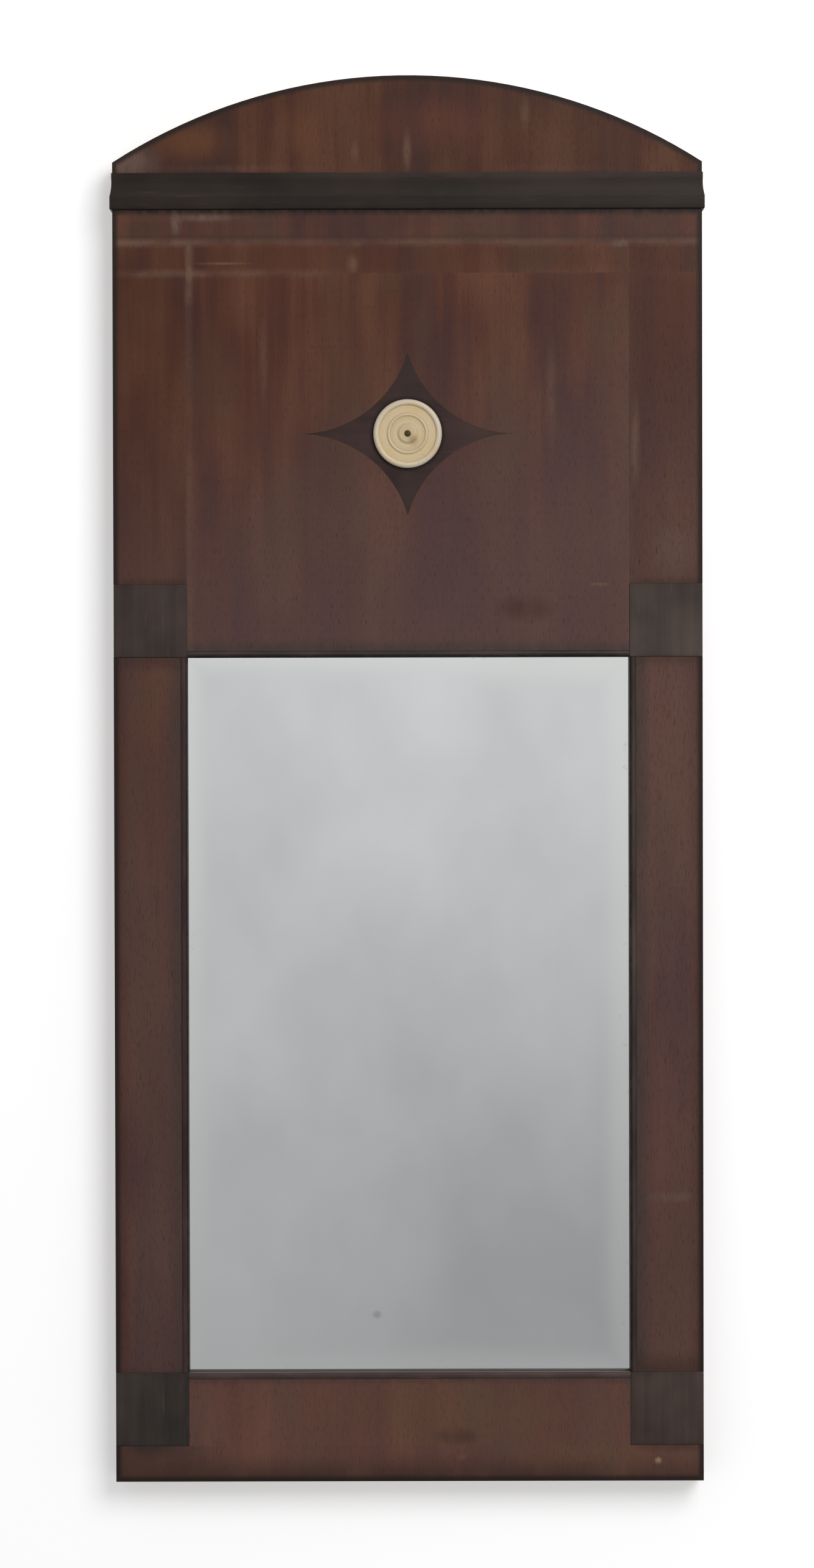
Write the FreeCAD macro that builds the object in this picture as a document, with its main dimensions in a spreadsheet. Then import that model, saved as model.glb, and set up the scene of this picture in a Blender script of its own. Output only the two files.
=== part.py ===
import FreeCAD, Part
import math
import os

import Sketcher

# Pier mirror: a pine carcass faced with mahogany veneer, an arched pediment over an ebonised cornice,
# an upper panel with a star inlay and a turned bone roundel, one mirror plate, and a hanging ring.
# Millimetres. +Z is up, +X is to the viewer's right and the front faces -Y.
# The origin is the middle of the bottom edge, on the wall plane that the back lies against.

# Driving dimensions: name, millimetres, what it measures
SIZES = (
    ("overall_width", 450, "frame over its side veneers"),
    ("stile_width", 56, "stile with its side veneer, as seen from the front"),
    ("carcass_depth", 27, "stiles and main rails, from the wall to the veneer's back"),
    ("bottom_rail_height", 83.5, "bottom edge to the sight opening"),
    ("sight_height", 547, "sight opening"),
    ("field_height", 315.5, "sight opening to the top of the stiles"),
    ("block_height", 56, "ebonised corner block, and the rail whose ends the upper pair covers"),
    ("top_rail_height", 22.5, "rail under the crest board"),
    ("frieze_height", 26, "plain band under the cornice"),
    ("cornice_height", 28, "cornice moulding"),
    ("shoulder_height", 8, "upright edge between the cornice and the arch"),
    ("arch_rise", 66, "arch above its springing"),
    ("crest_thickness", 18, "crest board and top rail"),
    ("panel_thickness", 12, "ground of the upper panel"),
    ("lap_height", 50, "stile lap behind the crest board"),
    ("tenon_thickness", 9, "rail tenons"),
    ("tenon_setback", 9, "wall plane to the back of the tenons"),
    ("tenon_length", 32, "rail tenons beyond their shoulders"),
    ("tenon_shoulder", 3, "least wood beside a tenon's edge"),
    ("tongue_thickness", 5, "tongue round the upper panel"),
    ("tongue_length", 6, "tongue round the upper panel"),
    ("joint_clearance", 0.15, "glue line round tenons and tongues"),
    ("peg_radius", 3.5, "pegs through the tenons"),
    ("peg_depth", 21, "pegs, in from the back"),
    ("peg_spacing", 18, "pair of pegs in one tenon"),
    ("peg_clearance", 0.05, "drilled hole round a peg, a pin or a screw"),
    ("lip_thickness", 9, "wood in front of the mirror plate"),
    ("plate_rebate", 8, "rebate that holds the plate, sideways"),
    ("plate_thickness", 3.5, "mirror plate"),
    ("plate_clearance", 1, "room round the plate at the top and sides"),
    ("board_rebate", 14, "wider rebate that holds the backboards, sideways"),
    ("board_rebate_depth", 7, "backboard rebate, in from the back"),
    ("board_thickness", 6, "backboards"),
    ("board_clearance", 0.5, "room round and between the backboards"),
    ("board_lap", 9, "half-lap where the backboards meet"),
    ("wedge_width", 7, "glue wedge, along the plate"),
    ("wedge_length", 38, "glue wedge, along the rebate"),
    ("wedge_inset", 45, "corner of the sight opening to the nearest wedge"),
    ("wedge_clearance", 0.5, "room between a wedge and the backboards"),
    ("nail_radius", 1, "shank of a backboard nail"),
    ("nail_length", 15, "backboard nail under its head"),
    ("nail_head_radius", 2.8, "head of a backboard nail"),
    ("nail_head_height", 0.8, "head of a backboard nail"),
    ("nail_inset", 30, "corner of the sight opening to the nearest nail"),
    ("veneer_thickness", 1.2, "saw-cut veneer"),
    ("block_thickness", 2, "ebonised corner block"),
    ("block_chamfer", 0.5, "eased front edges of a block"),
    ("bead_width", 5, "bead round the sight opening"),
    ("bead_depth", 3, "bead sunk into the carcass"),
    ("bead_proud", 0.8, "bead beyond the veneer's face"),
    ("bead_round", 1.2, "rise of the bead's rounded face"),
    ("cornice_projection", 2, "nose of the cornice beyond the veneer's face"),
    ("cornice_nose_height", 10, "upright face above the cornice's lower edge"),
    ("cornice_nose_chamfer", 1, "rounded lower edge of the cornice"),
    ("cornice_top_projection", 0.7, "upper fillet of the cornice beyond the veneer's face"),
    ("cornice_fillet", 4, "upper fillet of the cornice"),
    ("cornice_hollow", 0.6, "depth of the cove between nose and fillet"),
    ("star_half_width", 82, "star, centre to side point"),
    ("star_half_height", 62, "star, centre to top point"),
    ("star_hollow", 17, "depth of each hollow side of the star"),
    ("inlay_clearance", 0.05, "saw cut round an inlay"),
    ("roundel_rise", 170.5, "sight opening to the roundel's centre"),
    ("roundel_radius", 26.2, "turned bone roundel"),
    ("roundel_field", 3.6, "thickness of the roundel's flat field"),
    ("roundel_rim_width", 4.6, "rounded rim of the roundel"),
    ("roundel_rim_rise", 1.7, "rim above the field"),
    ("roundel_ring_radius", 14.5, "middle of the raised ring"),
    ("roundel_ring_width", 2.6, "raised ring"),
    ("roundel_ring_rise", 0.8, "raised ring above the field"),
    ("roundel_boss_radius", 8, "dished boss at the centre"),
    ("roundel_boss_rise", 1.1, "boss above the field"),
    ("roundel_boss_slope", 1.8, "sloping edge of the boss"),
    ("pin_radius", 2.5, "dark pin in the roundel's centre"),
    ("pin_depth", 7, "pin in the panel's ground"),
    ("pin_dome", 0.6, "domed end of the pin"),
    ("screw_radius", 2, "shank of a crest screw"),
    ("screw_length", 21, "crest screw"),
    ("screw_head_radius", 4, "countersunk head of a crest screw"),
    ("screw_edge", 14, "end of a lap to its screw"),
    ("screw_slot_width", 1.1, "slot in a screw's head"),
    ("screw_slot_depth", 0.9, "slot in a screw's head"),
    ("strap_width", 16, "hanger strap"),
    ("strap_thickness", 1.6, "hanger strap"),
    ("strap_length", 26, "hanger strap below the ring's axis"),
    ("strap_screw_radius", 1.6, "shank of a strap screw"),
    ("strap_screw_length", 14, "strap screw"),
    ("strap_screw_offset", 9.5, "ring's axis to the upper strap screw"),
    ("strap_screw_pitch", 9, "strap screws"),
    ("hanger_rise", 36, "top of the stiles to the ring's axis"),
    ("ring_wire_radius", 2, "wire of the hanging ring"),
    ("ring_clearance", 0.08, "running fit of the ring in the strap's knuckle"),
    ("ring_half_width", 14, "ring, centre to the middle of a leg"),
    ("ring_corner_radius", 4, "bend between the ring's bar and a leg"),
    ("ring_leg", 16, "ring's axis to the springing of its bow"),
)

SIDE_WEDGES = 3
END_WEDGES = 2
SIDE_NAILS = 5
END_NAILS = 4

doc = FreeCAD.newDocument("pier_mirror")
sheet = doc.addObject("Spreadsheet::Sheet", "sizes")
for row, (alias, millimetres, note) in enumerate(SIZES, start=1):
    sheet.set(f"A{row}", alias)
    sheet.set(f"B{row}", str(millimetres))
    sheet.setAlias(f"B{row}", alias)
    sheet.set(f"C{row}", note)
doc.recompute()

# Places worked out from the driving dimensions, as expressions
HALF_WIDTH = "(sizes.overall_width / 2)"
CARCASS_HALF = f"({HALF_WIDTH} - sizes.veneer_thickness)"
SIGHT_HALF = f"({HALF_WIDTH} - sizes.stile_width)"
FACE = "(sizes.carcass_depth + sizes.veneer_thickness)"
RAIL_TOP = "sizes.bottom_rail_height"
SIGHT_TOP = f"({RAIL_TOP} + sizes.sight_height)"
STILE_TOP = f"({SIGHT_TOP} + sizes.field_height)"
PANEL_BOTTOM = f"({SIGHT_TOP} + sizes.block_height)"
PANEL_TOP = f"({STILE_TOP} - sizes.top_rail_height)"
CORNICE_BOTTOM = f"({STILE_TOP} + sizes.frieze_height)"
CORNICE_TOP = f"({CORNICE_BOTTOM} + sizes.cornice_height)"
SHOULDER = f"({CORNICE_TOP} + sizes.shoulder_height)"
ARCH_RADIUS = f"(({HALF_WIDTH} ^ 2 + sizes.arch_rise ^ 2) / (2 * sizes.arch_rise))"
ARCH_CENTRE = f"({SHOULDER} + sizes.arch_rise - {ARCH_RADIUS})"
ARCH_GROUND_RADIUS = f"({ARCH_RADIUS} - sizes.veneer_thickness)"
CREST_BACK = "(sizes.carcass_depth - sizes.crest_thickness)"
TONGUE_BACK = "(sizes.carcass_depth - sizes.panel_thickness / 2 - sizes.tongue_thickness / 2)"
GROOVE_DEPTH = "(sizes.tongue_length + sizes.joint_clearance)"
PLATE_FRONT = "(sizes.carcass_depth - sizes.lip_thickness)"
PLATE_BACK = f"({PLATE_FRONT} - sizes.plate_thickness)"
REBATE_HALF = f"({SIGHT_HALF} + sizes.plate_rebate)"
NAIL_LINE = "((sizes.plate_rebate + sizes.board_rebate) / 2)"
BOARD_BACK = "(sizes.board_rebate_depth - sizes.board_thickness)"
ROUNDEL_CENTRE = f"({SIGHT_TOP} + sizes.roundel_rise)"
STRAP_BACK = f"({CREST_BACK} - sizes.strap_thickness)"
KNUCKLE_BORE = "(sizes.ring_wire_radius + sizes.ring_clearance)"
HINGE_DEPTH = f"({STRAP_BACK} - {KNUCKLE_BORE})"
HINGE_HEIGHT = f"({STILE_TOP} + sizes.hanger_rise)"

SIDES = (("left", -1), ("right", 1))

# Lower and upper edge of the tenon on each rail
TENONS = {
    "bottom_rail": ("sizes.tenon_shoulder", f"({RAIL_TOP} - sizes.board_rebate - sizes.tenon_shoulder)"),
    "cross_rail": (
        f"({SIGHT_TOP} + sizes.board_rebate + sizes.tenon_shoulder)",
        f"({PANEL_BOTTOM} - sizes.tongue_length - sizes.tenon_shoulder)",
    ),
    "top_rail": (
        f"({PANEL_TOP} + sizes.tongue_length + sizes.tenon_shoulder)",
        f"({STILE_TOP} - sizes.tenon_shoulder)",
    ),
}
PEGS_PER_TENON = {"bottom_rail": 2, "cross_rail": 1, "top_rail": 1}

subparts = []
cuts = []


def number(expression):
    """The value that an expression has for the sheet's sizes."""
    return float(sheet.evalExpression(expression))


def bow_radius(chord_squared, rise):
    """Radius of an arc from the square of its chord and its rise."""
    return f"(({chord_squared}) / 4 + ({rise}) ^ 2) / (2 * ({rise}))"


def new_body(label):
    body = doc.addObject("PartDesign::Body", label)
    body.Label = label
    subparts.append(body)
    return body


def origin_feature(body, role):
    return next(feature for feature in body.Origin.OriginFeatures if feature.Role == role)


def new_sketch(body, plane="XZ_Plane", offset="0", height="0"):
    """A sketch on an origin plane of its body, moved along its normal, and up if height is given.

    On XZ_Plane the normal is -Y, so an offset is a distance from the wall.
    """
    sketch = body.newObject("Sketcher::SketchObject", f"{body.Name}_sketch")
    sketch.AttachmentSupport = [(origin_feature(body, plane), "")]
    sketch.MapMode = "FlatFace"
    sketch.setExpression("AttachmentOffset.Base.z", offset)
    sketch.setExpression("AttachmentOffset.Base.y", height)
    return sketch


def bind(sketch, kind, geometry, expression, point=None):
    """Adds a dimension to a sketch and ties it to an expression."""
    if point is None:
        constraint = Sketcher.Constraint(kind, geometry, number(expression))
    else:
        constraint = Sketcher.Constraint(kind, -1, 1, geometry, point, number(expression))
    index = sketch.addConstraint(constraint)
    sketch.setExpression(f"Constraints[{index}]", expression)


def arc_between(start, finish, radius, turn):
    """The shorter arc from start to finish, turning left (+1) or right (-1)."""
    chord = finish - start
    left = FreeCAD.Vector(-chord.y, chord.x, 0).normalize()
    reach = math.sqrt(radius ** 2 - (chord.Length / 2) ** 2)
    centre = (start + finish) * 0.5 + left * (turn * reach)
    first, last = (start, finish) if turn > 0 else (finish, start)
    angles = [math.atan2(point.y - centre.y, point.x - centre.x) for point in (first, last)]
    return Part.ArcOfCircle(Part.Circle(centre, FreeCAD.Vector(0, 0, 1), radius), *angles)


def draw(sketch, corners, closed=True):
    """Draws an outline through corners, each (x, y) or (x, y, radius, turn).

    A corner with a radius starts an arc to the next corner, turning left (+1) or right (-1).
    """
    points = [FreeCAD.Vector(number(corner[0]), number(corner[1]), 0) for corner in corners]
    edges = len(corners) if closed else len(corners) - 1
    first = sketch.GeometryCount
    ends = []
    for i in range(edges):
        start = points[i]
        finish = points[(i + 1) % len(points)]
        if len(corners[i]) == 2:
            sketch.addGeometry(Part.LineSegment(start, finish))
            ends.append((1, 2))
        else:
            radius, turn = corners[i][2:]
            sketch.addGeometry(arc_between(start, finish, number(radius), turn))
            ends.append((1, 2) if turn > 0 else (2, 1))
    for i in range(edges):
        follower = (i + 1) % len(corners)
        if follower < edges:
            joint = (first + i, ends[i][1], first + follower, ends[follower][0])
            sketch.addConstraint(Sketcher.Constraint("Coincident", *joint))
    for i, corner in enumerate(corners):
        edge = min(i, edges - 1)
        point = ends[edge][0] if i < edges else ends[edge][1]
        bind(sketch, "DistanceX", first + edge, corner[0], point)
        bind(sketch, "DistanceY", first + edge, corner[1], point)
        if len(corner) > 2:
            bind(sketch, "Radius", first + edge, corner[2])


def draw_circles(sketch, centres, radius):
    for x, y in centres:
        centre = FreeCAD.Vector(number(x), number(y), 0)
        index = sketch.addGeometry(Part.Circle(centre, FreeCAD.Vector(0, 0, 1), number(radius)))
        bind(sketch, "DistanceX", index, x, 3)
        bind(sketch, "DistanceY", index, y, 3)
        bind(sketch, "Radius", index, radius)


def rectangle(x0, x1, z0, z1):
    return [(x0, z0), (x1, z0), (x1, z1), (x0, z1)]


def pad(body, sketch, length, symmetric=False, taper="0"):
    feature = body.newObject("PartDesign::Pad", f"{body.Name}_pad")
    feature.Profile = sketch
    feature.setExpression("Length", length)
    feature.setExpression("TaperAngle", taper)
    if symmetric:
        feature.SideType = "Symmetric"
    return feature


def pocket(body, sketch, depth, to_front=True, taper="0"):
    """Cuts a sketch into its body, away from the wall unless to_front is False."""
    feature = body.newObject("PartDesign::Pocket", f"{body.Name}_pocket")
    feature.Profile = sketch
    feature.setExpression("Length", depth)
    feature.setExpression("TaperAngle", taper)
    feature.Reversed = to_front
    cuts.append(feature)
    return feature


def board(body, outline, thickness, back="0"):
    """Adds a board with an outline seen from the front, whose back is a distance from the wall."""
    sketch = new_sketch(body, offset=back)
    draw(sketch, outline)
    return pad(body, sketch, thickness)


def recess(body, outlines, depth, back="0"):
    """Cuts recesses of one depth towards the front, from a distance from the wall."""
    sketch = new_sketch(body, offset=back)
    for outline in outlines:
        draw(sketch, outline)
    pocket(body, sketch, depth)


def front_recess(body, outline, depth):
    """Cuts a recess into the front of the carcass."""
    sketch = new_sketch(body, offset="sizes.carcass_depth")
    draw(sketch, outline)
    pocket(body, sketch, depth, to_front=False)


def holes(body, centres, radius, depth, back="0"):
    sketch = new_sketch(body, offset=back)
    draw_circles(sketch, centres, radius)
    pocket(body, sketch, depth)


def revolve(body, height, profile):
    """Turns a profile of (depth, radius) corners about the line at a height that runs front to back."""
    sketch = new_sketch(body, plane="YZ_Plane", height=height)
    draw(sketch, profile)
    feature = body.newObject("PartDesign::Revolution", f"{body.Name}_revolution")
    feature.Profile = sketch
    feature.ReferenceAxis = (sketch, ["H_Axis"])
    feature.Angle = 360


def signed(sign, expression):
    return expression if sign > 0 else f"-({expression})"


def peg_centres(rail, sign):
    """Peg centres in one tenon of a rail."""
    x = signed(sign, f"{SIGHT_HALF} + sizes.tenon_length / 2")
    low, high = TENONS[rail]
    middle = f"({low} + {high}) / 2"
    if PEGS_PER_TENON[rail] == 1:
        return [(x, middle)]
    return [(x, f"{middle} - sizes.peg_spacing / 2"), (x, f"{middle} + sizes.peg_spacing / 2")]


def crest_screw_centres(sign):
    x = signed(sign, f"{HALF_WIDTH} - sizes.stile_width / 2")
    return [
        (x, f"{STILE_TOP} + sizes.screw_edge"),
        (x, f"{STILE_TOP} + sizes.lap_height - sizes.screw_edge"),
    ]


def strap_screw_centres():
    upper = f"{HINGE_HEIGHT} - sizes.strap_screw_offset"
    return [("0", upper), ("0", f"{upper} - sizes.strap_screw_pitch")]


def make_stile(side, sign):
    """A stile with its stepped rebate, mortises, panel groove and lap behind the crest board."""
    body = new_body(f"{side}_stile")
    inner = signed(sign, SIGHT_HALF)
    outer = signed(sign, CARCASS_HALF)
    board(body, rectangle(inner, outer, "0", STILE_TOP), "sizes.carcass_depth")
    board(body, rectangle(inner, outer, "0", f"{STILE_TOP} + sizes.lap_height"), CREST_BACK)

    def rebate(size):
        reach = signed(sign, f"{SIGHT_HALF} + {size}")
        return rectangle(inner, reach, f"{RAIL_TOP} - {size}", f"{SIGHT_TOP} + {size}")

    recess(body, [rebate("sizes.plate_rebate")], PLATE_FRONT)
    recess(body, [rebate("sizes.board_rebate")], "sizes.board_rebate_depth")
    bead_edge = signed(sign, f"{SIGHT_HALF} + sizes.bead_width")
    front_recess(body, rectangle(inner, bead_edge, RAIL_TOP, SIGHT_TOP), "sizes.bead_depth")
    mortise_end = signed(sign, f"{SIGHT_HALF} + sizes.tenon_length + sizes.joint_clearance")
    mortises = [
        rectangle(inner, mortise_end, f"{low} - sizes.joint_clearance", f"{high} + sizes.joint_clearance")
        for low, high in TENONS.values()
    ]
    mortise_width = "sizes.tenon_thickness + 2 * sizes.joint_clearance"
    recess(body, mortises, mortise_width, "sizes.tenon_setback - sizes.joint_clearance")
    groove_end = signed(sign, f"{SIGHT_HALF} + {GROOVE_DEPTH}")
    groove = rectangle(inner, groove_end, f"{PANEL_BOTTOM} - {GROOVE_DEPTH}", f"{PANEL_TOP} + {GROOVE_DEPTH}")
    groove_width = "sizes.tongue_thickness + 2 * sizes.joint_clearance"
    recess(body, [groove], groove_width, f"{TONGUE_BACK} - sizes.joint_clearance")
    centres = [centre for rail in TENONS for centre in peg_centres(rail, sign)]
    holes(body, centres, "sizes.peg_radius + sizes.peg_clearance", "sizes.peg_depth")
    holes(body, crest_screw_centres(sign), "sizes.screw_radius + sizes.peg_clearance", CREST_BACK)
    sink = new_sketch(body)
    draw_circles(sink, crest_screw_centres(sign), "sizes.screw_head_radius + sizes.peg_clearance")
    pocket(body, sink, "sizes.screw_head_radius - sizes.screw_radius", taper="-45")


def make_rail(name, low, high, thickness):
    """A rail between the stiles with a tenon at each end, drilled for its pegs."""
    body = new_body(name)
    back = f"sizes.carcass_depth - {thickness}"
    board(body, rectangle(f"-{SIGHT_HALF}", SIGHT_HALF, low, high), thickness, back)
    end = f"{SIGHT_HALF} + sizes.tenon_length"
    tenon_low, tenon_high = TENONS[name]
    tenon = rectangle(f"-({end})", end, tenon_low, tenon_high)
    board(body, tenon, "sizes.tenon_thickness", "sizes.tenon_setback")
    centres = peg_centres(name, -1) + peg_centres(name, 1)
    holes(body, centres, "sizes.peg_radius + sizes.peg_clearance", "sizes.peg_depth")
    return body


def rail_strip(low, high):
    """The outline of a cut that runs the whole length of a rail between its shoulders."""
    return rectangle(f"-{SIGHT_HALF}", SIGHT_HALF, low, high)


def make_bottom_rail():
    body = make_rail("bottom_rail", "0", RAIL_TOP, "sizes.carcass_depth")
    recess(body, [rail_strip(f"{RAIL_TOP} - sizes.plate_rebate", RAIL_TOP)], PLATE_FRONT)
    recess(body, [rail_strip(f"{RAIL_TOP} - sizes.board_rebate", RAIL_TOP)], "sizes.board_rebate_depth")
    front_recess(body, rail_strip(f"{RAIL_TOP} - sizes.bead_width", RAIL_TOP), "sizes.bead_depth")


def make_cross_rail():
    body = make_rail("cross_rail", SIGHT_TOP, PANEL_BOTTOM, "sizes.carcass_depth")
    recess(body, [rail_strip(SIGHT_TOP, f"{SIGHT_TOP} + sizes.plate_rebate")], PLATE_FRONT)
    recess(body, [rail_strip(SIGHT_TOP, f"{SIGHT_TOP} + sizes.board_rebate")], "sizes.board_rebate_depth")
    front_recess(body, rail_strip(SIGHT_TOP, f"{SIGHT_TOP} + sizes.bead_width"), "sizes.bead_depth")
    groove_width = "sizes.tongue_thickness + 2 * sizes.joint_clearance"
    groove = rail_strip(f"{PANEL_BOTTOM} - {GROOVE_DEPTH}", PANEL_BOTTOM)
    recess(body, [groove], groove_width, f"{TONGUE_BACK} - sizes.joint_clearance")


def make_top_rail():
    body = make_rail("top_rail", PANEL_TOP, STILE_TOP, "sizes.crest_thickness")
    groove_width = "sizes.tongue_thickness + 2 * sizes.joint_clearance"
    groove = rail_strip(PANEL_TOP, f"{PANEL_TOP} + {GROOVE_DEPTH}")
    recess(body, [groove], groove_width, f"{TONGUE_BACK} - sizes.joint_clearance")


def make_upper_panel():
    """The veneered panel's ground, with a tongue all round and a hole for the roundel's pin."""
    body = new_body("upper_panel")
    back = "sizes.carcass_depth - sizes.panel_thickness"
    board(body, rail_strip(PANEL_BOTTOM, PANEL_TOP), "sizes.panel_thickness", back)
    reach = f"{SIGHT_HALF} + sizes.tongue_length"
    low = f"{PANEL_BOTTOM} - sizes.tongue_length"
    high = f"{PANEL_TOP} + sizes.tongue_length"
    board(body, rectangle(f"-({reach})", reach, low, high), "sizes.tongue_thickness", TONGUE_BACK)
    pin_hole = new_sketch(body, offset="sizes.carcass_depth")
    draw_circles(pin_hole, [("0", ROUNDEL_CENTRE)], "sizes.pin_radius + sizes.peg_clearance")
    pocket(body, pin_hole, "sizes.pin_depth", to_front=False)


def arch_height(radius, x):
    """Height of an arch of the crest at a distance from its middle."""
    return f"{ARCH_CENTRE} + sqrt({radius} ^ 2 - {x} ^ 2)"


def make_crest_board():
    """The arched board over the stiles, drilled for the lap screws and the strap screws."""
    body = new_body("crest_board")
    spring = arch_height(ARCH_GROUND_RADIUS, CARCASS_HALF)
    outline = [
        (f"-{CARCASS_HALF}", STILE_TOP),
        (CARCASS_HALF, STILE_TOP),
        (CARCASS_HALF, spring, ARCH_GROUND_RADIUS, 1),
        (f"-{CARCASS_HALF}", spring),
    ]
    board(body, outline, "sizes.crest_thickness", CREST_BACK)
    lap_screws = crest_screw_centres(-1) + crest_screw_centres(1)
    holes(body, lap_screws, "sizes.screw_radius + sizes.peg_clearance", "sizes.screw_length")
    strap_depth = f"sizes.strap_screw_length + {STRAP_BACK}"
    holes(body, strap_screw_centres(), "sizes.strap_screw_radius + sizes.peg_clearance", strap_depth)


def make_pegs():
    body = new_body("joint_pegs")
    sketch = new_sketch(body)
    centres = [centre for side, sign in SIDES for rail in TENONS for centre in peg_centres(rail, sign)]
    draw_circles(sketch, centres, "sizes.peg_radius")
    pad(body, sketch, "sizes.peg_depth")


def make_countersunk_screws(name, centres, shank, head, length, back):
    """A group of slotted screws driven towards the front, their countersunk heads flush with a face."""
    body = new_body(name)
    shanks = new_sketch(body, offset=back)
    draw_circles(shanks, centres, shank)
    pad(body, shanks, length)
    heads = new_sketch(body, offset=back)
    draw_circles(heads, centres, head)
    pad(body, heads, f"{head} - {shank}", taper="-45")
    half = "sizes.screw_slot_width / 2"
    slots = [rectangle(f"{x} - {head}", f"{x} + {head}", f"{z} - {half}", f"{z} + {half}") for x, z in centres]
    recess(body, slots, "sizes.screw_slot_depth", back)


def make_leaf(name, x0, x1, z0, z1):
    """A rectangular leaf of veneer on the front of the carcass."""
    body = new_body(name)
    board(body, rectangle(x0, x1, z0, z1), "sizes.veneer_thickness", "sizes.carcass_depth")


def star_outline(clearance):
    """The star's four hollow sides, drawn in by a clearance."""
    reach = f"(sizes.star_half_width - {clearance})"
    climb = f"(sizes.star_half_height - {clearance})"
    radius = bow_radius(f"{reach} ^ 2 + {climb} ^ 2", "sizes.star_hollow")
    return [
        (reach, ROUNDEL_CENTRE, radius, -1),
        ("0", f"{ROUNDEL_CENTRE} + {climb}", radius, -1),
        (f"-{reach}", ROUNDEL_CENTRE, radius, -1),
        ("0", f"{ROUNDEL_CENTRE} - {climb}", radius, -1),
    ]


def make_panel_veneer():
    """The upper panel's leaf, cut out for the star."""
    body = new_body("panel_veneer")
    sketch = new_sketch(body, offset="sizes.carcass_depth")
    draw(sketch, rectangle(f"-{SIGHT_HALF}", SIGHT_HALF, f"{SIGHT_TOP} + sizes.bead_width", PANEL_TOP))
    draw(sketch, star_outline("0"))
    pad(body, sketch, "sizes.veneer_thickness")


def make_star():
    body = new_body("star_inlay")
    sketch = new_sketch(body, offset="sizes.carcass_depth")
    draw(sketch, star_outline("sizes.inlay_clearance"))
    draw_circles(sketch, [("0", ROUNDEL_CENTRE)], "sizes.roundel_radius + sizes.inlay_clearance")
    pad(body, sketch, "sizes.veneer_thickness")


def make_crest_veneers():
    """The pediment's leaf, the strip bent over the arch and a leaf on each side of the frame."""
    pediment = [
        (f"-{HALF_WIDTH}", CORNICE_TOP),
        (HALF_WIDTH, CORNICE_TOP),
        (HALF_WIDTH, SHOULDER, ARCH_RADIUS, 1),
        (f"-{HALF_WIDTH}", SHOULDER),
    ]
    board(new_body("pediment_veneer"), pediment, "sizes.veneer_thickness", "sizes.carcass_depth")
    spring = arch_height(ARCH_GROUND_RADIUS, CARCASS_HALF)
    underside = arch_height(ARCH_GROUND_RADIUS, HALF_WIDTH)
    strip = [
        (f"-{HALF_WIDTH}", underside),
        (f"-{CARCASS_HALF}", spring, ARCH_GROUND_RADIUS, -1),
        (CARCASS_HALF, spring),
        (HALF_WIDTH, underside),
        (HALF_WIDTH, SHOULDER, ARCH_RADIUS, 1),
        (f"-{HALF_WIDTH}", SHOULDER),
    ]
    board(new_body("arch_edge_veneer"), strip, "sizes.crest_thickness", CREST_BACK)
    lap_top = f"{STILE_TOP} + sizes.lap_height"
    profile = [
        ("0", "0"),
        ("0", lap_top),
        (f"-{CREST_BACK}", lap_top),
        (f"-{CREST_BACK}", underside),
        ("-sizes.carcass_depth", underside),
        ("-sizes.carcass_depth", "0"),
    ]
    for side, sign in SIDES:
        body = new_body(f"{side}_side_veneer")
        near = CARCASS_HALF if sign > 0 else f"-{HALF_WIDTH}"
        sketch = new_sketch(body, plane="YZ_Plane", offset=near)
        draw(sketch, profile)
        pad(body, sketch, "sizes.veneer_thickness")


def make_leaves():
    """The rectangular leaves on the rails, the frieze and the stiles."""
    base_top = f"{RAIL_TOP} - sizes.block_height"
    make_leaf("frieze_veneer", f"-{HALF_WIDTH}", HALF_WIDTH, STILE_TOP, CORNICE_BOTTOM)
    make_leaf("top_band_veneer", f"-{SIGHT_HALF}", SIGHT_HALF, PANEL_TOP, STILE_TOP)
    make_leaf("bottom_rail_veneer", f"-{SIGHT_HALF}", SIGHT_HALF, base_top, f"{RAIL_TOP} - sizes.bead_width")
    make_leaf("base_band_veneer", f"-{HALF_WIDTH}", HALF_WIDTH, "0", base_top)
    for side, sign in SIDES:
        outer = signed(sign, HALF_WIDTH)
        inner = signed(sign, SIGHT_HALF)
        bead_edge = signed(sign, f"{SIGHT_HALF} + sizes.bead_width")
        make_leaf(f"{side}_band_veneer", inner, outer, PANEL_TOP, STILE_TOP)
        make_leaf(f"{side}_upper_veneer", inner, outer, f"{SIGHT_TOP} + sizes.block_height", PANEL_TOP)
        make_leaf(f"{side}_pilaster_veneer", bead_edge, outer, RAIL_TOP, SIGHT_TOP)


def front_edge_names(feature):
    """Names of a feature's edges that lie in its front face."""
    front = feature.Shape.BoundBox.YMin
    return [
        f"Edge{i}"
        for i, edge in enumerate(feature.Shape.Edges, start=1)
        if edge.BoundBox.YMax - front < Part.Precision.confusion()
    ]


def make_block(name, sign, low, high):
    """An ebonised block at the end of a pilaster, with eased front edges."""
    body = new_body(name)
    outline = rectangle(signed(sign, SIGHT_HALF), signed(sign, HALF_WIDTH), low, high)
    base = board(body, outline, "sizes.block_thickness", "sizes.carcass_depth")
    doc.recompute()
    chamfer = body.newObject("PartDesign::Chamfer", f"{name}_chamfer")
    chamfer.Base = (base, front_edge_names(base))
    chamfer.setExpression("Size", "sizes.block_chamfer")


def make_blocks():
    for side, sign in SIDES:
        make_block(f"upper_{side}_block", sign, SIGHT_TOP, f"{SIGHT_TOP} + sizes.block_height")
        make_block(f"lower_{side}_block", sign, f"{RAIL_TOP} - sizes.block_height", RAIL_TOP)


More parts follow.
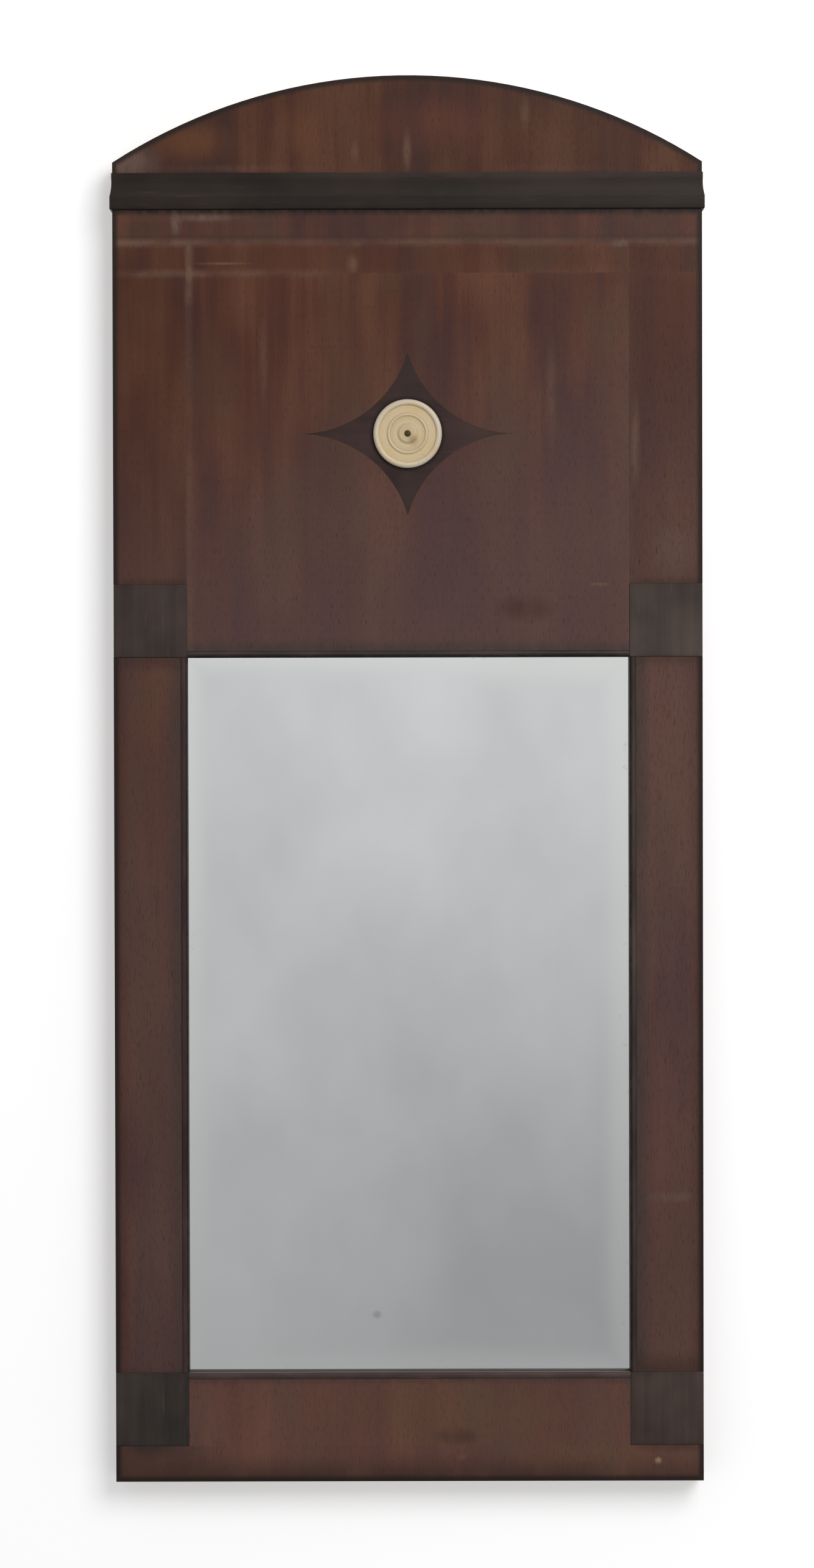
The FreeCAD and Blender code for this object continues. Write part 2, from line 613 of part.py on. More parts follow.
def make_beads():
    """Half-round beads round the sight opening, butted between the corner blocks."""
    root = "-(sizes.carcass_depth - sizes.bead_depth)"
    spring = f"-({FACE} + sizes.bead_proud - sizes.bead_round)"
    nose = bow_radius("sizes.bead_width ^ 2", "sizes.bead_round")
    for side, sign in SIDES:
        body = new_body(f"{side}_bead")
        low_x = SIGHT_HALF if sign > 0 else f"-({SIGHT_HALF} + sizes.bead_width)"
        high_x = f"{low_x} + sizes.bead_width"
        sketch = new_sketch(body, plane="XY_Plane", offset=RAIL_TOP)
        draw(sketch, [(low_x, root), (low_x, spring, nose, 1), (high_x, spring), (high_x, root)])
        pad(body, sketch, "sizes.sight_height")
    for name, low_z in (("top_bead", SIGHT_TOP), ("bottom_bead", f"({RAIL_TOP} - sizes.bead_width)")):
        body = new_body(name)
        high_z = f"{low_z} + sizes.bead_width"
        sketch = new_sketch(body, plane="YZ_Plane")
        draw(sketch, [(root, low_z), (root, high_z), (spring, high_z, nose, 1), (spring, low_z)])
        pad(body, sketch, f"2 * {SIGHT_HALF}", symmetric=True)


def cornice_profile(ground):
    """The cornice's section as (distance from the veneer's face, height), from a ground behind it."""
    nose = "sizes.cornice_projection"
    top = "sizes.cornice_top_projection"
    nose_top = f"{CORNICE_BOTTOM} + sizes.cornice_nose_height"
    fillet_low = f"{CORNICE_TOP} - sizes.cornice_fillet"
    cove_height = "(sizes.cornice_height - sizes.cornice_nose_height - sizes.cornice_fillet)"
    cove = bow_radius(f"({nose} - {top}) ^ 2 + {cove_height} ^ 2", "sizes.cornice_hollow")
    ease = "sizes.cornice_nose_chamfer"
    return [
        (ground, CORNICE_BOTTOM),
        (f"{nose} - {ease}", CORNICE_BOTTOM, ease, 1),
        (nose, f"{CORNICE_BOTTOM} + {ease}"),
        (nose, nose_top, cove, -1),
        (top, fillet_low),
        (top, CORNICE_TOP),
        (ground, CORNICE_TOP),
    ]


def placed(corner, x):
    """A profile corner with its first coordinate replaced."""
    return (x, *corner[1:])


def mirrored(corner):
    """A profile corner with its first coordinate and the turn of its arc reversed."""
    turned = tuple(-value if isinstance(value, int) else value for value in corner[2:])
    return (f"-({corner[0]})", corner[1], *turned)


def make_cornice():
    """The cornice across the front and its two returns, mitred at the corners."""
    body = new_body("cornice_front")
    sketch = new_sketch(body, plane="YZ_Plane")
    section = cornice_profile("-sizes.veneer_thickness")
    draw(sketch, [mirrored(placed(corner, f"{corner[0]} + {FACE}")) for corner in section])
    pad(body, sketch, "sizes.overall_width + 2 * sizes.cornice_projection", symmetric=True)
    nose = f"{FACE} + sizes.cornice_projection"
    tip = f"{HALF_WIDTH} + sizes.cornice_projection"
    for side, sign in SIDES:
        mitre = new_sketch(body, plane="XY_Plane", offset=CORNICE_BOTTOM)
        draw(mitre, [
            (signed(sign, HALF_WIDTH), "-sizes.carcass_depth"),
            (signed(sign, tip), "-sizes.carcass_depth"),
            (signed(sign, tip), f"-({nose})"),
            (signed(sign, HALF_WIDTH), f"-{FACE}"),
        ])
        pocket(body, mitre, "sizes.cornice_height")

        piece = new_body(f"cornice_{side}_return")
        sketch = new_sketch(piece, offset=CREST_BACK)
        section = [placed(corner, f"{corner[0]} + {HALF_WIDTH}") for corner in cornice_profile("0")]
        draw(sketch, section if sign > 0 else [mirrored(corner) for corner in section])
        pad(piece, sketch, f"{nose} - {CREST_BACK}")
        mitre = new_sketch(piece, plane="XY_Plane", offset=CORNICE_BOTTOM)
        draw(mitre, [
            (signed(sign, HALF_WIDTH), f"-{FACE}"),
            (signed(sign, tip), f"-({nose})"),
            (signed(sign, HALF_WIDTH), f"-({nose})"),
        ])
        pocket(piece, mitre, "sizes.cornice_height")


def make_roundel():
    """The turned bone roundel: rounded rim, sunk field, raised ring and central boss, bored for its pin."""
    field = "-(sizes.carcass_depth + sizes.roundel_field)"
    boss = f"({field} - sizes.roundel_boss_rise)"
    bore = "sizes.pin_radius + sizes.peg_clearance"
    rim_inner = "sizes.roundel_radius - sizes.roundel_rim_width"
    ring_outer = "sizes.roundel_ring_radius + sizes.roundel_ring_width / 2"
    ring_inner = "sizes.roundel_ring_radius - sizes.roundel_ring_width / 2"
    rim = bow_radius("sizes.roundel_rim_width ^ 2", "sizes.roundel_rim_rise")
    ring = bow_radius("sizes.roundel_ring_width ^ 2", "sizes.roundel_ring_rise")
    revolve(new_body("bone_roundel"), ROUNDEL_CENTRE, [
        ("-sizes.carcass_depth", bore),
        ("-sizes.carcass_depth", "sizes.roundel_radius"),
        (field, "sizes.roundel_radius", rim, 1),
        (field, rim_inner),
        (field, ring_outer, ring, 1),
        (field, ring_inner),
        (field, "sizes.roundel_boss_radius"),
        (boss, "sizes.roundel_boss_radius - sizes.roundel_boss_slope"),
        (boss, bore),
    ])
    crown = bow_radius("(2 * sizes.pin_radius) ^ 2", "sizes.pin_dome")
    revolve(new_body("roundel_pin"), ROUNDEL_CENTRE, [
        ("-(sizes.carcass_depth - sizes.pin_depth)", "0"),
        ("-(sizes.carcass_depth - sizes.pin_depth)", "sizes.pin_radius"),
        (boss, "sizes.pin_radius", crown, 1),
        (f"{boss} - sizes.pin_dome", "0"),
    ])


def make_plate():
    """The mirror plate, standing on the bottom rail's rebate."""
    reach = f"{REBATE_HALF} - sizes.plate_clearance"
    low = f"{RAIL_TOP} - sizes.plate_rebate"
    high = f"{SIGHT_TOP} + sizes.plate_rebate - sizes.plate_clearance"
    outline = rectangle(f"-({reach})", reach, low, high)
    board(new_body("mirror_plate"), outline, "sizes.plate_thickness", PLATE_BACK)


def along(start, length, count, i):
    """The i-th of count places spread evenly along a length."""
    return f"{start} + {i} * ({length}) / {count - 1}"


def make_wedges():
    """Glue wedges behind the plate's edges, in the corner of the rebate."""
    body = new_body("plate_wedges")
    rear = f"-({PLATE_BACK} - ({PLATE_BACK} - sizes.board_rebate_depth - sizes.wedge_clearance))"
    spare = "2 * sizes.wedge_inset + sizes.wedge_length"
    for side, sign in SIDES:
        wall = signed(sign, REBATE_HALF)
        toe = signed(sign, f"{REBATE_HALF} - sizes.wedge_width")
        for i in range(SIDE_WEDGES):
            start = along(f"{RAIL_TOP} + sizes.wedge_inset", f"sizes.sight_height - ({spare})", SIDE_WEDGES, i)
            sketch = new_sketch(body, plane="XY_Plane", offset=start)
            draw(sketch, [(wall, f"-{PLATE_BACK}"), (toe, f"-{PLATE_BACK}"), (wall, rear)])
            pad(body, sketch, "sizes.wedge_length")
    for edge, inward in ((f"({RAIL_TOP} - sizes.plate_rebate)", "+"), (f"({SIGHT_TOP} + sizes.plate_rebate)", "-")):
        for i in range(END_WEDGES):
            start = along(f"-{SIGHT_HALF} + sizes.wedge_inset", f"2 * {SIGHT_HALF} - ({spare})", END_WEDGES, i)
            sketch = new_sketch(body, plane="YZ_Plane", offset=start)
            toe = f"{edge} {inward} sizes.wedge_width"
            draw(sketch, [(f"-{PLATE_BACK}", edge), (f"-{PLATE_BACK}", toe), (rear, edge)])
            pad(body, sketch, "sizes.wedge_length")


def make_backboards():
    """Two thin boards in the wide rebate, half-lapped down the middle."""
    front = "-sizes.board_rebate_depth"
    back = f"-{BOARD_BACK}"
    middle = f"({front} + {back}) / 2"
    edge = f"({SIGHT_HALF} + sizes.board_rebate - sizes.board_clearance)"
    lap = "sizes.board_lap / 2"
    gap = "sizes.board_clearance"
    outlines = {
        "backboard_left": [
            (f"-{edge}", front), (f"{lap} - {gap}", front), (f"{lap} - {gap}", middle),
            (f"-{lap} - {gap}", middle), (f"-{lap} - {gap}", back), (f"-{edge}", back),
        ],
        "backboard_right": [
            (edge, front), (lap, front), (lap, middle), (f"-{lap}", middle), (f"-{lap}", back), (edge, back),
        ],
    }
    low = f"{RAIL_TOP} - sizes.board_rebate + sizes.board_clearance"
    length = "sizes.sight_height + 2 * sizes.board_rebate - 2 * sizes.board_clearance"
    for name, outline in outlines.items():
        body = new_body(name)
        sketch = new_sketch(body, plane="XY_Plane", offset=low)
        draw(sketch, outline)
        pad(body, sketch, length)


def nail_centres():
    """Nails round the backboards, along the ledge between the two rebates."""
    centres = []
    for side, sign in SIDES:
        x = signed(sign, f"{SIGHT_HALF} + {NAIL_LINE}")
        for i in range(SIDE_NAILS):
            z = along(f"{RAIL_TOP} + sizes.nail_inset", "sizes.sight_height - 2 * sizes.nail_inset", SIDE_NAILS, i)
            centres.append((x, z))
    for z in (f"{RAIL_TOP} - {NAIL_LINE}", f"{SIGHT_TOP} + {NAIL_LINE}"):
        for i in range(END_NAILS):
            x = along(f"-{SIGHT_HALF} + sizes.nail_inset", f"2 * {SIGHT_HALF} - 2 * sizes.nail_inset", END_NAILS, i)
            centres.append((x, z))
    return centres


def make_nails():
    body = new_body("backboard_nails")
    shanks = new_sketch(body, offset=BOARD_BACK)
    draw_circles(shanks, nail_centres(), "sizes.nail_radius")
    pad(body, shanks, "sizes.nail_length")
    heads = new_sketch(body, offset=f"{BOARD_BACK} - sizes.nail_head_height")
    draw_circles(heads, nail_centres(), "sizes.nail_head_radius")
    pad(body, heads, "sizes.nail_head_height")


def make_hanger_plate():
    """A strap with a round end, its top rolled into the knuckle that the ring turns in."""
    body = new_body("hanger_plate")
    half = "sizes.strap_width / 2"
    end = f"{HINGE_HEIGHT} - sizes.strap_length + {half}"
    tip = f"{HINGE_HEIGHT} - sizes.strap_length"
    outline = [
        (f"-{half}", HINGE_HEIGHT),
        (f"-{half}", end, half, 1),
        ("0", tip, half, 1),
        (half, end),
        (half, HINGE_HEIGHT),
    ]
    board(body, outline, "sizes.strap_thickness", STRAP_BACK)
    sketch = new_sketch(body, plane="YZ_Plane")
    axis = [(f"-{HINGE_DEPTH}", HINGE_HEIGHT)]
    draw_circles(sketch, axis, f"{KNUCKLE_BORE} + sizes.strap_thickness")
    draw_circles(sketch, axis, KNUCKLE_BORE)
    pad(body, sketch, "sizes.strap_width", symmetric=True)
    holes(
        body, strap_screw_centres(), "sizes.strap_screw_radius + sizes.peg_clearance",
        "sizes.strap_thickness", STRAP_BACK,
    )
    sink = new_sketch(body, offset=STRAP_BACK)
    head = "sizes.strap_screw_radius + sizes.strap_thickness"
    draw_circles(sink, strap_screw_centres(), f"{head} + sizes.peg_clearance")
    pocket(body, sink, "sizes.strap_thickness", taper="-45")


def make_hanger_ring():
    """A stirrup of round wire: half of it is swept along its route, and the rest is its mirror image."""
    body = new_body("hanger_ring")
    bend = "sizes.ring_corner_radius"
    leg = "sizes.ring_half_width"
    spring = f"{HINGE_HEIGHT} - sizes.ring_leg"
    route = new_sketch(body, offset=HINGE_DEPTH)
    draw(route, [
        ("0", HINGE_HEIGHT),
        (f"{leg} - {bend}", HINGE_HEIGHT, bend, -1),
        (leg, f"{HINGE_HEIGHT} - {bend}"),
        (leg, spring, leg, -1),
        ("0", f"{spring} - {leg}"),
    ], closed=False)
    wire = new_sketch(body, plane="YZ_Plane")
    draw_circles(wire, [(f"-{HINGE_DEPTH}", HINGE_HEIGHT)], "sizes.ring_wire_radius")
    pipe = body.newObject("PartDesign::AdditivePipe", "ring_half")
    pipe.Profile = wire
    pipe.Spine = route
    doc.recompute()
    whole = body.newObject("PartDesign::Mirrored", "ring_whole")
    whole.Originals = [pipe]
    whole.MirrorPlane = (origin_feature(body, "YZ_Plane"), [""])
    body.Tip = whole


for side_name, side_sign in SIDES:
    make_stile(side_name, side_sign)
make_bottom_rail()
make_cross_rail()
make_top_rail()
make_upper_panel()
make_crest_board()
make_pegs()
make_countersunk_screws(
    "crest_screws", crest_screw_centres(-1) + crest_screw_centres(1),
    "sizes.screw_radius", "sizes.screw_head_radius", "sizes.screw_length", "0",
)
make_leaves()
make_panel_veneer()
make_crest_veneers()
make_blocks()
make_beads()
make_cornice()
make_star()
make_roundel()
make_plate()
make_wedges()
make_backboards()
make_nails()
make_hanger_plate()
make_hanger_ring()
make_countersunk_screws(
    "hanger_screws", strap_screw_centres(), "sizes.strap_screw_radius",
    "(sizes.strap_screw_radius + sizes.strap_thickness)", "sizes.strap_screw_length", STRAP_BACK,
)
doc.recompute()

# Nothing is written unless every object is sound and every cut took wood away
faults = [item.Label for item in doc.Objects if {"Invalid", "Error"} & set(item.State)]
faults += [part.Label for part in subparts if part.Shape.isNull() or not part.Shape.isValid()]
faults += [cut.Label for cut in cuts if cut.Shape.Volume >= cut.BaseFeature.Shape.Volume]
if faults:
    raise RuntimeError("these objects failed: " + ", ".join(faults))

os.makedirs("parts", exist_ok=True)
for part in subparts:
    part.Shape.exportStep(f"parts/{part.Label}.step")
print(f"{len(subparts)} sub-parts written")
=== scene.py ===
import math

import bpy
from mathutils import Matrix, Vector


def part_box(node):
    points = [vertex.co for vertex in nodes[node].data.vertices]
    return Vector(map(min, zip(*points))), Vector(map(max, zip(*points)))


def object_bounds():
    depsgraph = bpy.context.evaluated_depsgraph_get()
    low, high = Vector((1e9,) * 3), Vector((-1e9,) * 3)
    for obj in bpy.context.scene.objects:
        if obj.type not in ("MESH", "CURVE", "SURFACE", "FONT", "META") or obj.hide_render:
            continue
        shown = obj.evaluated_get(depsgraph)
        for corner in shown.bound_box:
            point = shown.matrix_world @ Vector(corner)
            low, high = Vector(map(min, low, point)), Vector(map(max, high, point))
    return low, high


# Pier mirror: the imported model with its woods, bone, iron and old mirror plate, against a white wall.
# Metres. +Z is up, +X is to the viewer's right and the front faces -Y.

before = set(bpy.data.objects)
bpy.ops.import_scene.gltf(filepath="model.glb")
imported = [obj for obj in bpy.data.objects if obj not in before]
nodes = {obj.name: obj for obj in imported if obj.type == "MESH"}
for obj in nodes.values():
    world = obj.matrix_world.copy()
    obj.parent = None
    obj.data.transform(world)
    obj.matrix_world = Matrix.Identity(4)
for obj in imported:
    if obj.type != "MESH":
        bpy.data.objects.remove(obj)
cad_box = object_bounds()
scene = bpy.context.scene
scene.view_settings.view_transform = "Standard"


def link(name, data):
    """A new object in the scene."""
    made = bpy.data.objects.new(name, data)
    scene.collection.objects.link(made)
    return made


def middle(node):
    """The middle of a CAD node's box."""
    low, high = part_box(node)
    return (low + high) / 2


# Camera: nearly square on, a little above the middle of the mirror and a hair out of level
VIEW_DISTANCE = 3.5
VIEW_PITCH = math.radians(0.8)
VIEW_ROLL = math.radians(-0.137)
VIEW_CENTRE = Vector((-0.0011, -0.0282, 0.5337))
VIEW_HEIGHT = 1.1977
SENSOR = 36.0

camera = link("camera", bpy.data.cameras.new("camera"))
camera.data.sensor_width = SENSOR
camera.data.lens = SENSOR * VIEW_DISTANCE / VIEW_HEIGHT
backwards = Vector((0, -math.cos(VIEW_PITCH), math.sin(VIEW_PITCH)))
upright = Matrix.Rotation(math.pi / 2 - VIEW_PITCH, 4, "X")
turned = upright @ Matrix.Rotation(VIEW_ROLL, 4, "Z")
camera.matrix_world = Matrix.Translation(VIEW_CENTRE + VIEW_DISTANCE * backwards) @ turned
scene.camera = camera


# Node graphs

# Places of the sockets that a mix node has for colours
MIX_SHARE = 0
MIX_FIRST = 6
MIX_SECOND = 7
MIX_RESULT = 2

# How far a seed moves noise along each axis
SEED_STEPS = (1.0, 1.7, 0.6)

# Worn and stained marks, and marks of painted shade and light: the share of a mark that has its full
# strength, the length of its patches in widths, the noise levels between which a patch begins, the strength
# left between patches, and how much the place along x changes the seed
MARK_CORE = 0.1
PATCH_LENGTH = 3
PATCH_LEVELS = (0.3, 0.6)
PATCH_GAP = 0.55
MARK_SEED = 90


class Graph:
    """Short calls for the nodes of a tree. Values are sockets, numbers or colours."""

    def __init__(self, tree):
        self.tree = tree

    def add(self, kind, **settings):
        """A new node with its settings."""
        node = self.tree.nodes.new(kind)
        for setting, value in settings.items():
            setattr(node, setting, value)
        return node

    def put(self, socket, value):
        """Links an input to a socket, or sets it to a number or a colour."""
        if isinstance(value, bpy.types.NodeSocket):
            self.tree.links.new(value, socket)
        elif socket.type == "RGBA":
            socket.default_value = (*value, 1.0)
        else:
            socket.default_value = value

    def math(self, operation, first, *others):
        """An operation on one value, or carried through several values in turn."""
        result = first
        for other in others or (0.0,):
            node = self.add("ShaderNodeMath", operation=operation)
            self.put(node.inputs[0], result)
            self.put(node.inputs[1], other)
            result = node.outputs[0]
        return result

    def weighted(self, *terms, base=0.0):
        """A base number plus the sum of (value, weight) pairs."""
        total = base
        for value, weight in terms:
            total = self.math("ADD", self.math("MULTIPLY", value, weight), total)
        return total

    def between(self, value, start, finish, low=0.0, high=1.0):
        """Eases from low, where value is start, to high, where it is finish."""
        node = self.add("ShaderNodeMapRange", interpolation_type="SMOOTHSTEP")
        self.put(node.inputs["Value"], value)
        self.put(node.inputs["From Min"], start)
        self.put(node.inputs["From Max"], finish)
        self.put(node.inputs["To Min"], low)
        self.put(node.inputs["To Max"], high)
        return node.outputs["Result"]

    def mix(self, share, first, second):
        """The first colour with a share of the second laid over it."""
        node = self.add("ShaderNodeMix", data_type="RGBA")
        self.put(node.inputs[MIX_SHARE], share)
        self.put(node.inputs[MIX_FIRST], first)
        self.put(node.inputs[MIX_SECOND], second)
        return node.outputs[MIX_RESULT]

    def ramp(self, value, *stops):
        """A colour ramp through (place, colour) stops."""
        node = self.add("ShaderNodeValToRGB")
        self.put(node.inputs[0], value)
        elements = node.color_ramp.elements
        while len(elements) < len(stops):
            elements.new(1.0)
        for element, (place, colour) in zip(elements, stops):
            element.position = place
            element.color = (*colour, 1.0)
        return node.outputs["Color"]


class Finish(Graph):
    """A procedural material on the Principled shader, drawn in the row frame."""

    def __init__(self, name):
        self.material = bpy.data.materials.new(name)
        self.material.use_nodes = True
        super().__init__(self.material.node_tree)
        self.surface = self.tree.nodes["Principled BSDF"]
        self.point = self.add("ShaderNodeTexCoord").outputs["Object"]
        parts = self.add("ShaderNodeSeparateXYZ")
        self.put(parts.inputs[0], self.point)
        self.x, self.y, self.z = parts.outputs

    def set(self, **values):
        """Sets inputs of the shader, such as base_color or specular_ior_level."""
        for name, value in values.items():
            title = name.replace("_", " ").title().replace("Ior", "IOR")
            self.put(self.surface.inputs[title], value)

    def scaled(self, size, shift=(0.0, 0.0, 0.0)):
        """The point in units of a size along each axis, moved by a shift."""
        node = self.add("ShaderNodeMapping")
        self.put(node.inputs["Vector"], self.point)
        self.put(node.inputs["Scale"], [1 / length if length else 0.0 for length in size])
        self.put(node.inputs["Location"], shift)
        return node.outputs[0]

    def noise(self, size, detail=2.0, seed=0.0, roughness=0.5):
        """Noise whose features have a size along each axis."""
        node = self.add("ShaderNodeTexNoise")
        self.put(node.inputs["Vector"], self.scaled(size, [seed * step for step in SEED_STEPS]))
        self.put(node.inputs["Scale"], 1.0)
        self.put(node.inputs["Detail"], detail)
        self.put(node.inputs["Roughness"], roughness)
        return node.outputs["Fac"]

    def grain(self, along, width, length, detail=2.0, seed=0.0):
        """Noise drawn out along the x, y or z of the wood's grain."""
        size = [length if axis == along else width for axis in "xyz"]
        return self.noise(size, detail, seed)

    def reach(self, centre, size):
        """Distance from a centre in units of a size along each axis; a size of 0 ignores that axis."""
        shift = [-place / length if length else 0.0 for place, length in zip(centre, size)]
        node = self.add("ShaderNodeVectorMath", operation="LENGTH")
        self.put(node.inputs[0], self.scaled(size, shift))
        return node.outputs["Value"]

    def line(self, value, place, width):
        """A soft line where value is at a place."""
        apart = self.math("ABSOLUTE", self.math("SUBTRACT", value, place))
        return self.between(apart, width / 2, 0.0)

    def inset(self, node):
        """Distance from the nearest edge of a node, seen from the front."""
        low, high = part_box(node)
        return self.math(
            "MINIMUM",
            self.math("SUBTRACT", self.x, low.x),
            self.math("SUBTRACT", high.x, self.x),
            self.math("SUBTRACT", self.z, low.z),
            self.math("SUBTRACT", high.z, self.z),
        )

    def marked(self, colour, along, seed, marks):
        """A colour with worn or stained places, and places of painted shade or light: (x, z, half width, half
        height, strength, colour) of each.
        """
        for x, z, half_width, half_height, strength, tint in marks:
            spot = self.between(self.reach((x, 0, z), (half_width, 0, half_height)), 1.0, MARK_CORE)
            patch = min(half_width, half_height)
            patches = self.grain(along, patch, patch * PATCH_LENGTH, 2, seed + x * MARK_SEED)
            patchy = self.between(patches, *PATCH_LEVELS, strength * PATCH_GAP, strength)
            colour = self.mix(self.math("MULTIPLY", spot, patchy), colour, tint)
        return colour

    def bump(self, height, strength, depth):
        """Fine relief of the surface."""
        node = self.add("ShaderNodeBump")
        self.put(node.inputs["Height"], height)
        self.put(node.inputs["Strength"], strength)
        self.put(node.inputs["Distance"], depth)
        self.put(self.surface.inputs["Normal"], node.outputs["Normal"])


def times(colour, factor):
    """A colour made darker or lighter."""
    return tuple(channel * factor for channel in colour)


def dress(finish, *names):
    """Gives CAD nodes a finish."""
    for name in names:
        slots = nodes[name].data.materials
        slots.clear()
        slots.append(finish.material)


# Mahogany veneer

PLUM = (0.05, 0.0155, 0.0125)
RUSSET = (0.079, 0.0245, 0.0125)
TAN = (0.112, 0.042, 0.021)
OLIVE = (0.068, 0.033, 0.0185)
PORE = (0.02, 0.008, 0.005)
RUBBED = (0.15, 0.085, 0.06)
# A greyish veil: partly dulled polish, partly painted sheen
HAZE_AND_SHEEN = (0.1, 0.058, 0.055)
# Near black for dirt, for the darker outer edges, and for painted shade under the cornice, along the glass
# and round the roundel
GRIME_AND_SHADE = (0.012, 0.008, 0.006)

# Edges and joints of the front
HALF_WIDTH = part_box("pediment_veneer")[1].x
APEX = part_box("pediment_veneer")[1].z
ARCH_RISE = 0.066
ARCH_RADIUS = (HALF_WIDTH ** 2 + ARCH_RISE ** 2) / (2 * ARCH_RISE)
CORNICE_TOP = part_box("pediment_veneer")[0].z
CORNICE_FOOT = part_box("frieze_veneer")[1].z
FRIEZE_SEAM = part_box("frieze_veneer")[0].z
BAND_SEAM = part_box("panel_veneer")[1].z
SIDE_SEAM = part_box("panel_veneer")[1].x
PANEL_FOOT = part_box("panel_veneer")[0].z
BLOCK_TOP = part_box("upper_left_block")[1].z
PILASTER_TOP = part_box("left_pilaster_veneer")[1].z
PILASTER_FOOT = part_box("left_pilaster_veneer")[0].z
RAIL_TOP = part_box("bottom_rail_veneer")[1].z
BASE_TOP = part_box("base_band_veneer")[1].z

# Width and length of the features in the grain, and the size of its clouds
FIGURE = (0.034, 0.24)
STREAK = (0.009, 0.14)
FINE_LINE = (0.0013, 0.09)
OPEN_PORE = (0.0003, 0.006)
DRIFT = (0.05, 0.17)
CLOUD = (0.07, 0.07, 0.1)

# The range of the figure, the share of dark in the pores, and the haze, partly dulled polish and partly
# painted sheen, which grows towards the lower right
FIGURE_SPREAD = 0.11
PORE_SHARE = 0.55
HAZE_AND_SHEEN_SLANT = 0.3
HAZE_AND_SHEEN_START = -0.94
HAZE_AND_SHEEN_FULL = -0.64

# Least roughness and strength of the relief, on a polished leaf and on one that has lost its polish
POLISHED = (0.22, 0.22)
UNPOLISHED = (0.5, 0.06)

# Rubbed joints: the width of the wear, how far its middle lies from two of the joints, the height where
# it has faded on the left, and the size of its gaps
SEAM_WIDTH = 0.01
SEAM_RISE = 0.0008
SEAM_INSET = 0.0022
SEAM_FADE = 0.72
SEAM_GAPS = (0.03, 0.03, 0.03)

# Where along x the wear of the level joints eases off, and its strength before and after. The left joint
# has its strengths low down and high up, and the right joint has one.
FRIEZE_EASES = (-0.185, -0.15)
FRIEZE_WEAR = (0.75, 0.36)
BAND_EASES = (-0.12, -0.02)
BAND_WEAR = (0.52, 0.06)
LEFT_WEAR = (0.18, 0.6)
RIGHT_WEAR = 0.12

# Darkening along the outer edges
EDGE_DARK_START = 0.0015
EDGE_DARK_WIDTH = 0.006
EDGE_DARK_STRENGTH = 0.9


def rubbed_seams(finish):
    """How much polish is rubbed away along the joints between the upper leaves, mostly towards the left."""
    broken = finish.between(finish.noise(SEAM_GAPS, 3, 4.0), 0.38, 0.6, 0.35, 1.0)
    frieze = finish.line(finish.z, FRIEZE_SEAM + SEAM_RISE, SEAM_WIDTH)
    frieze = finish.math("MULTIPLY", frieze, finish.between(finish.x, *FRIEZE_EASES, *FRIEZE_WEAR))
    band = finish.line(finish.z, BAND_SEAM, SEAM_WIDTH)
    band = finish.math("MULTIPLY", band, finish.between(finish.x, *BAND_EASES, *BAND_WEAR))
    left = finish.line(finish.x, -SIDE_SEAM + SEAM_INSET, SEAM_WIDTH)
    left = finish.math("MULTIPLY", left, finish.between(finish.z, SEAM_FADE, FRIEZE_SEAM, *LEFT_WEAR))
    right = finish.math("MULTIPLY", finish.line(finish.x, SIDE_SEAM, SEAM_WIDTH), RIGHT_WEAR)
    below = finish.math("LESS_THAN", finish.z, FRIEZE_SEAM)
    upright = finish.math("MULTIPLY", finish.math("MAXIMUM", left, right), below)
    return finish.math("MULTIPLY", finish.math("MAXIMUM", frieze, band, upright), broken)


def edge_darkening(finish):
    """How much the front darkens along its outer edges: the sides, the foot and the arch."""
    aside = finish.math("ABSOLUTE", finish.x)
    sides = finish.between(aside, HALF_WIDTH - EDGE_DARK_WIDTH, HALF_WIDTH - EDGE_DARK_START)
    foot = finish.between(finish.z, EDGE_DARK_WIDTH, EDGE_DARK_START)
    out = finish.reach((0, 0, APEX - ARCH_RADIUS), (ARCH_RADIUS, 0, ARCH_RADIUS))
    arch = finish.between(out, 1 - EDGE_DARK_WIDTH / ARCH_RADIUS, 1 - EDGE_DARK_START / ARCH_RADIUS)
    crest = finish.between(finish.z, APEX - ARCH_RISE - EDGE_DARK_WIDTH, APEX - ARCH_RISE)
    arch = finish.math("MULTIPLY", arch, crest)
    return finish.math("MULTIPLY", finish.math("MAXIMUM", sides, foot, arch), EDGE_DARK_STRENGTH)


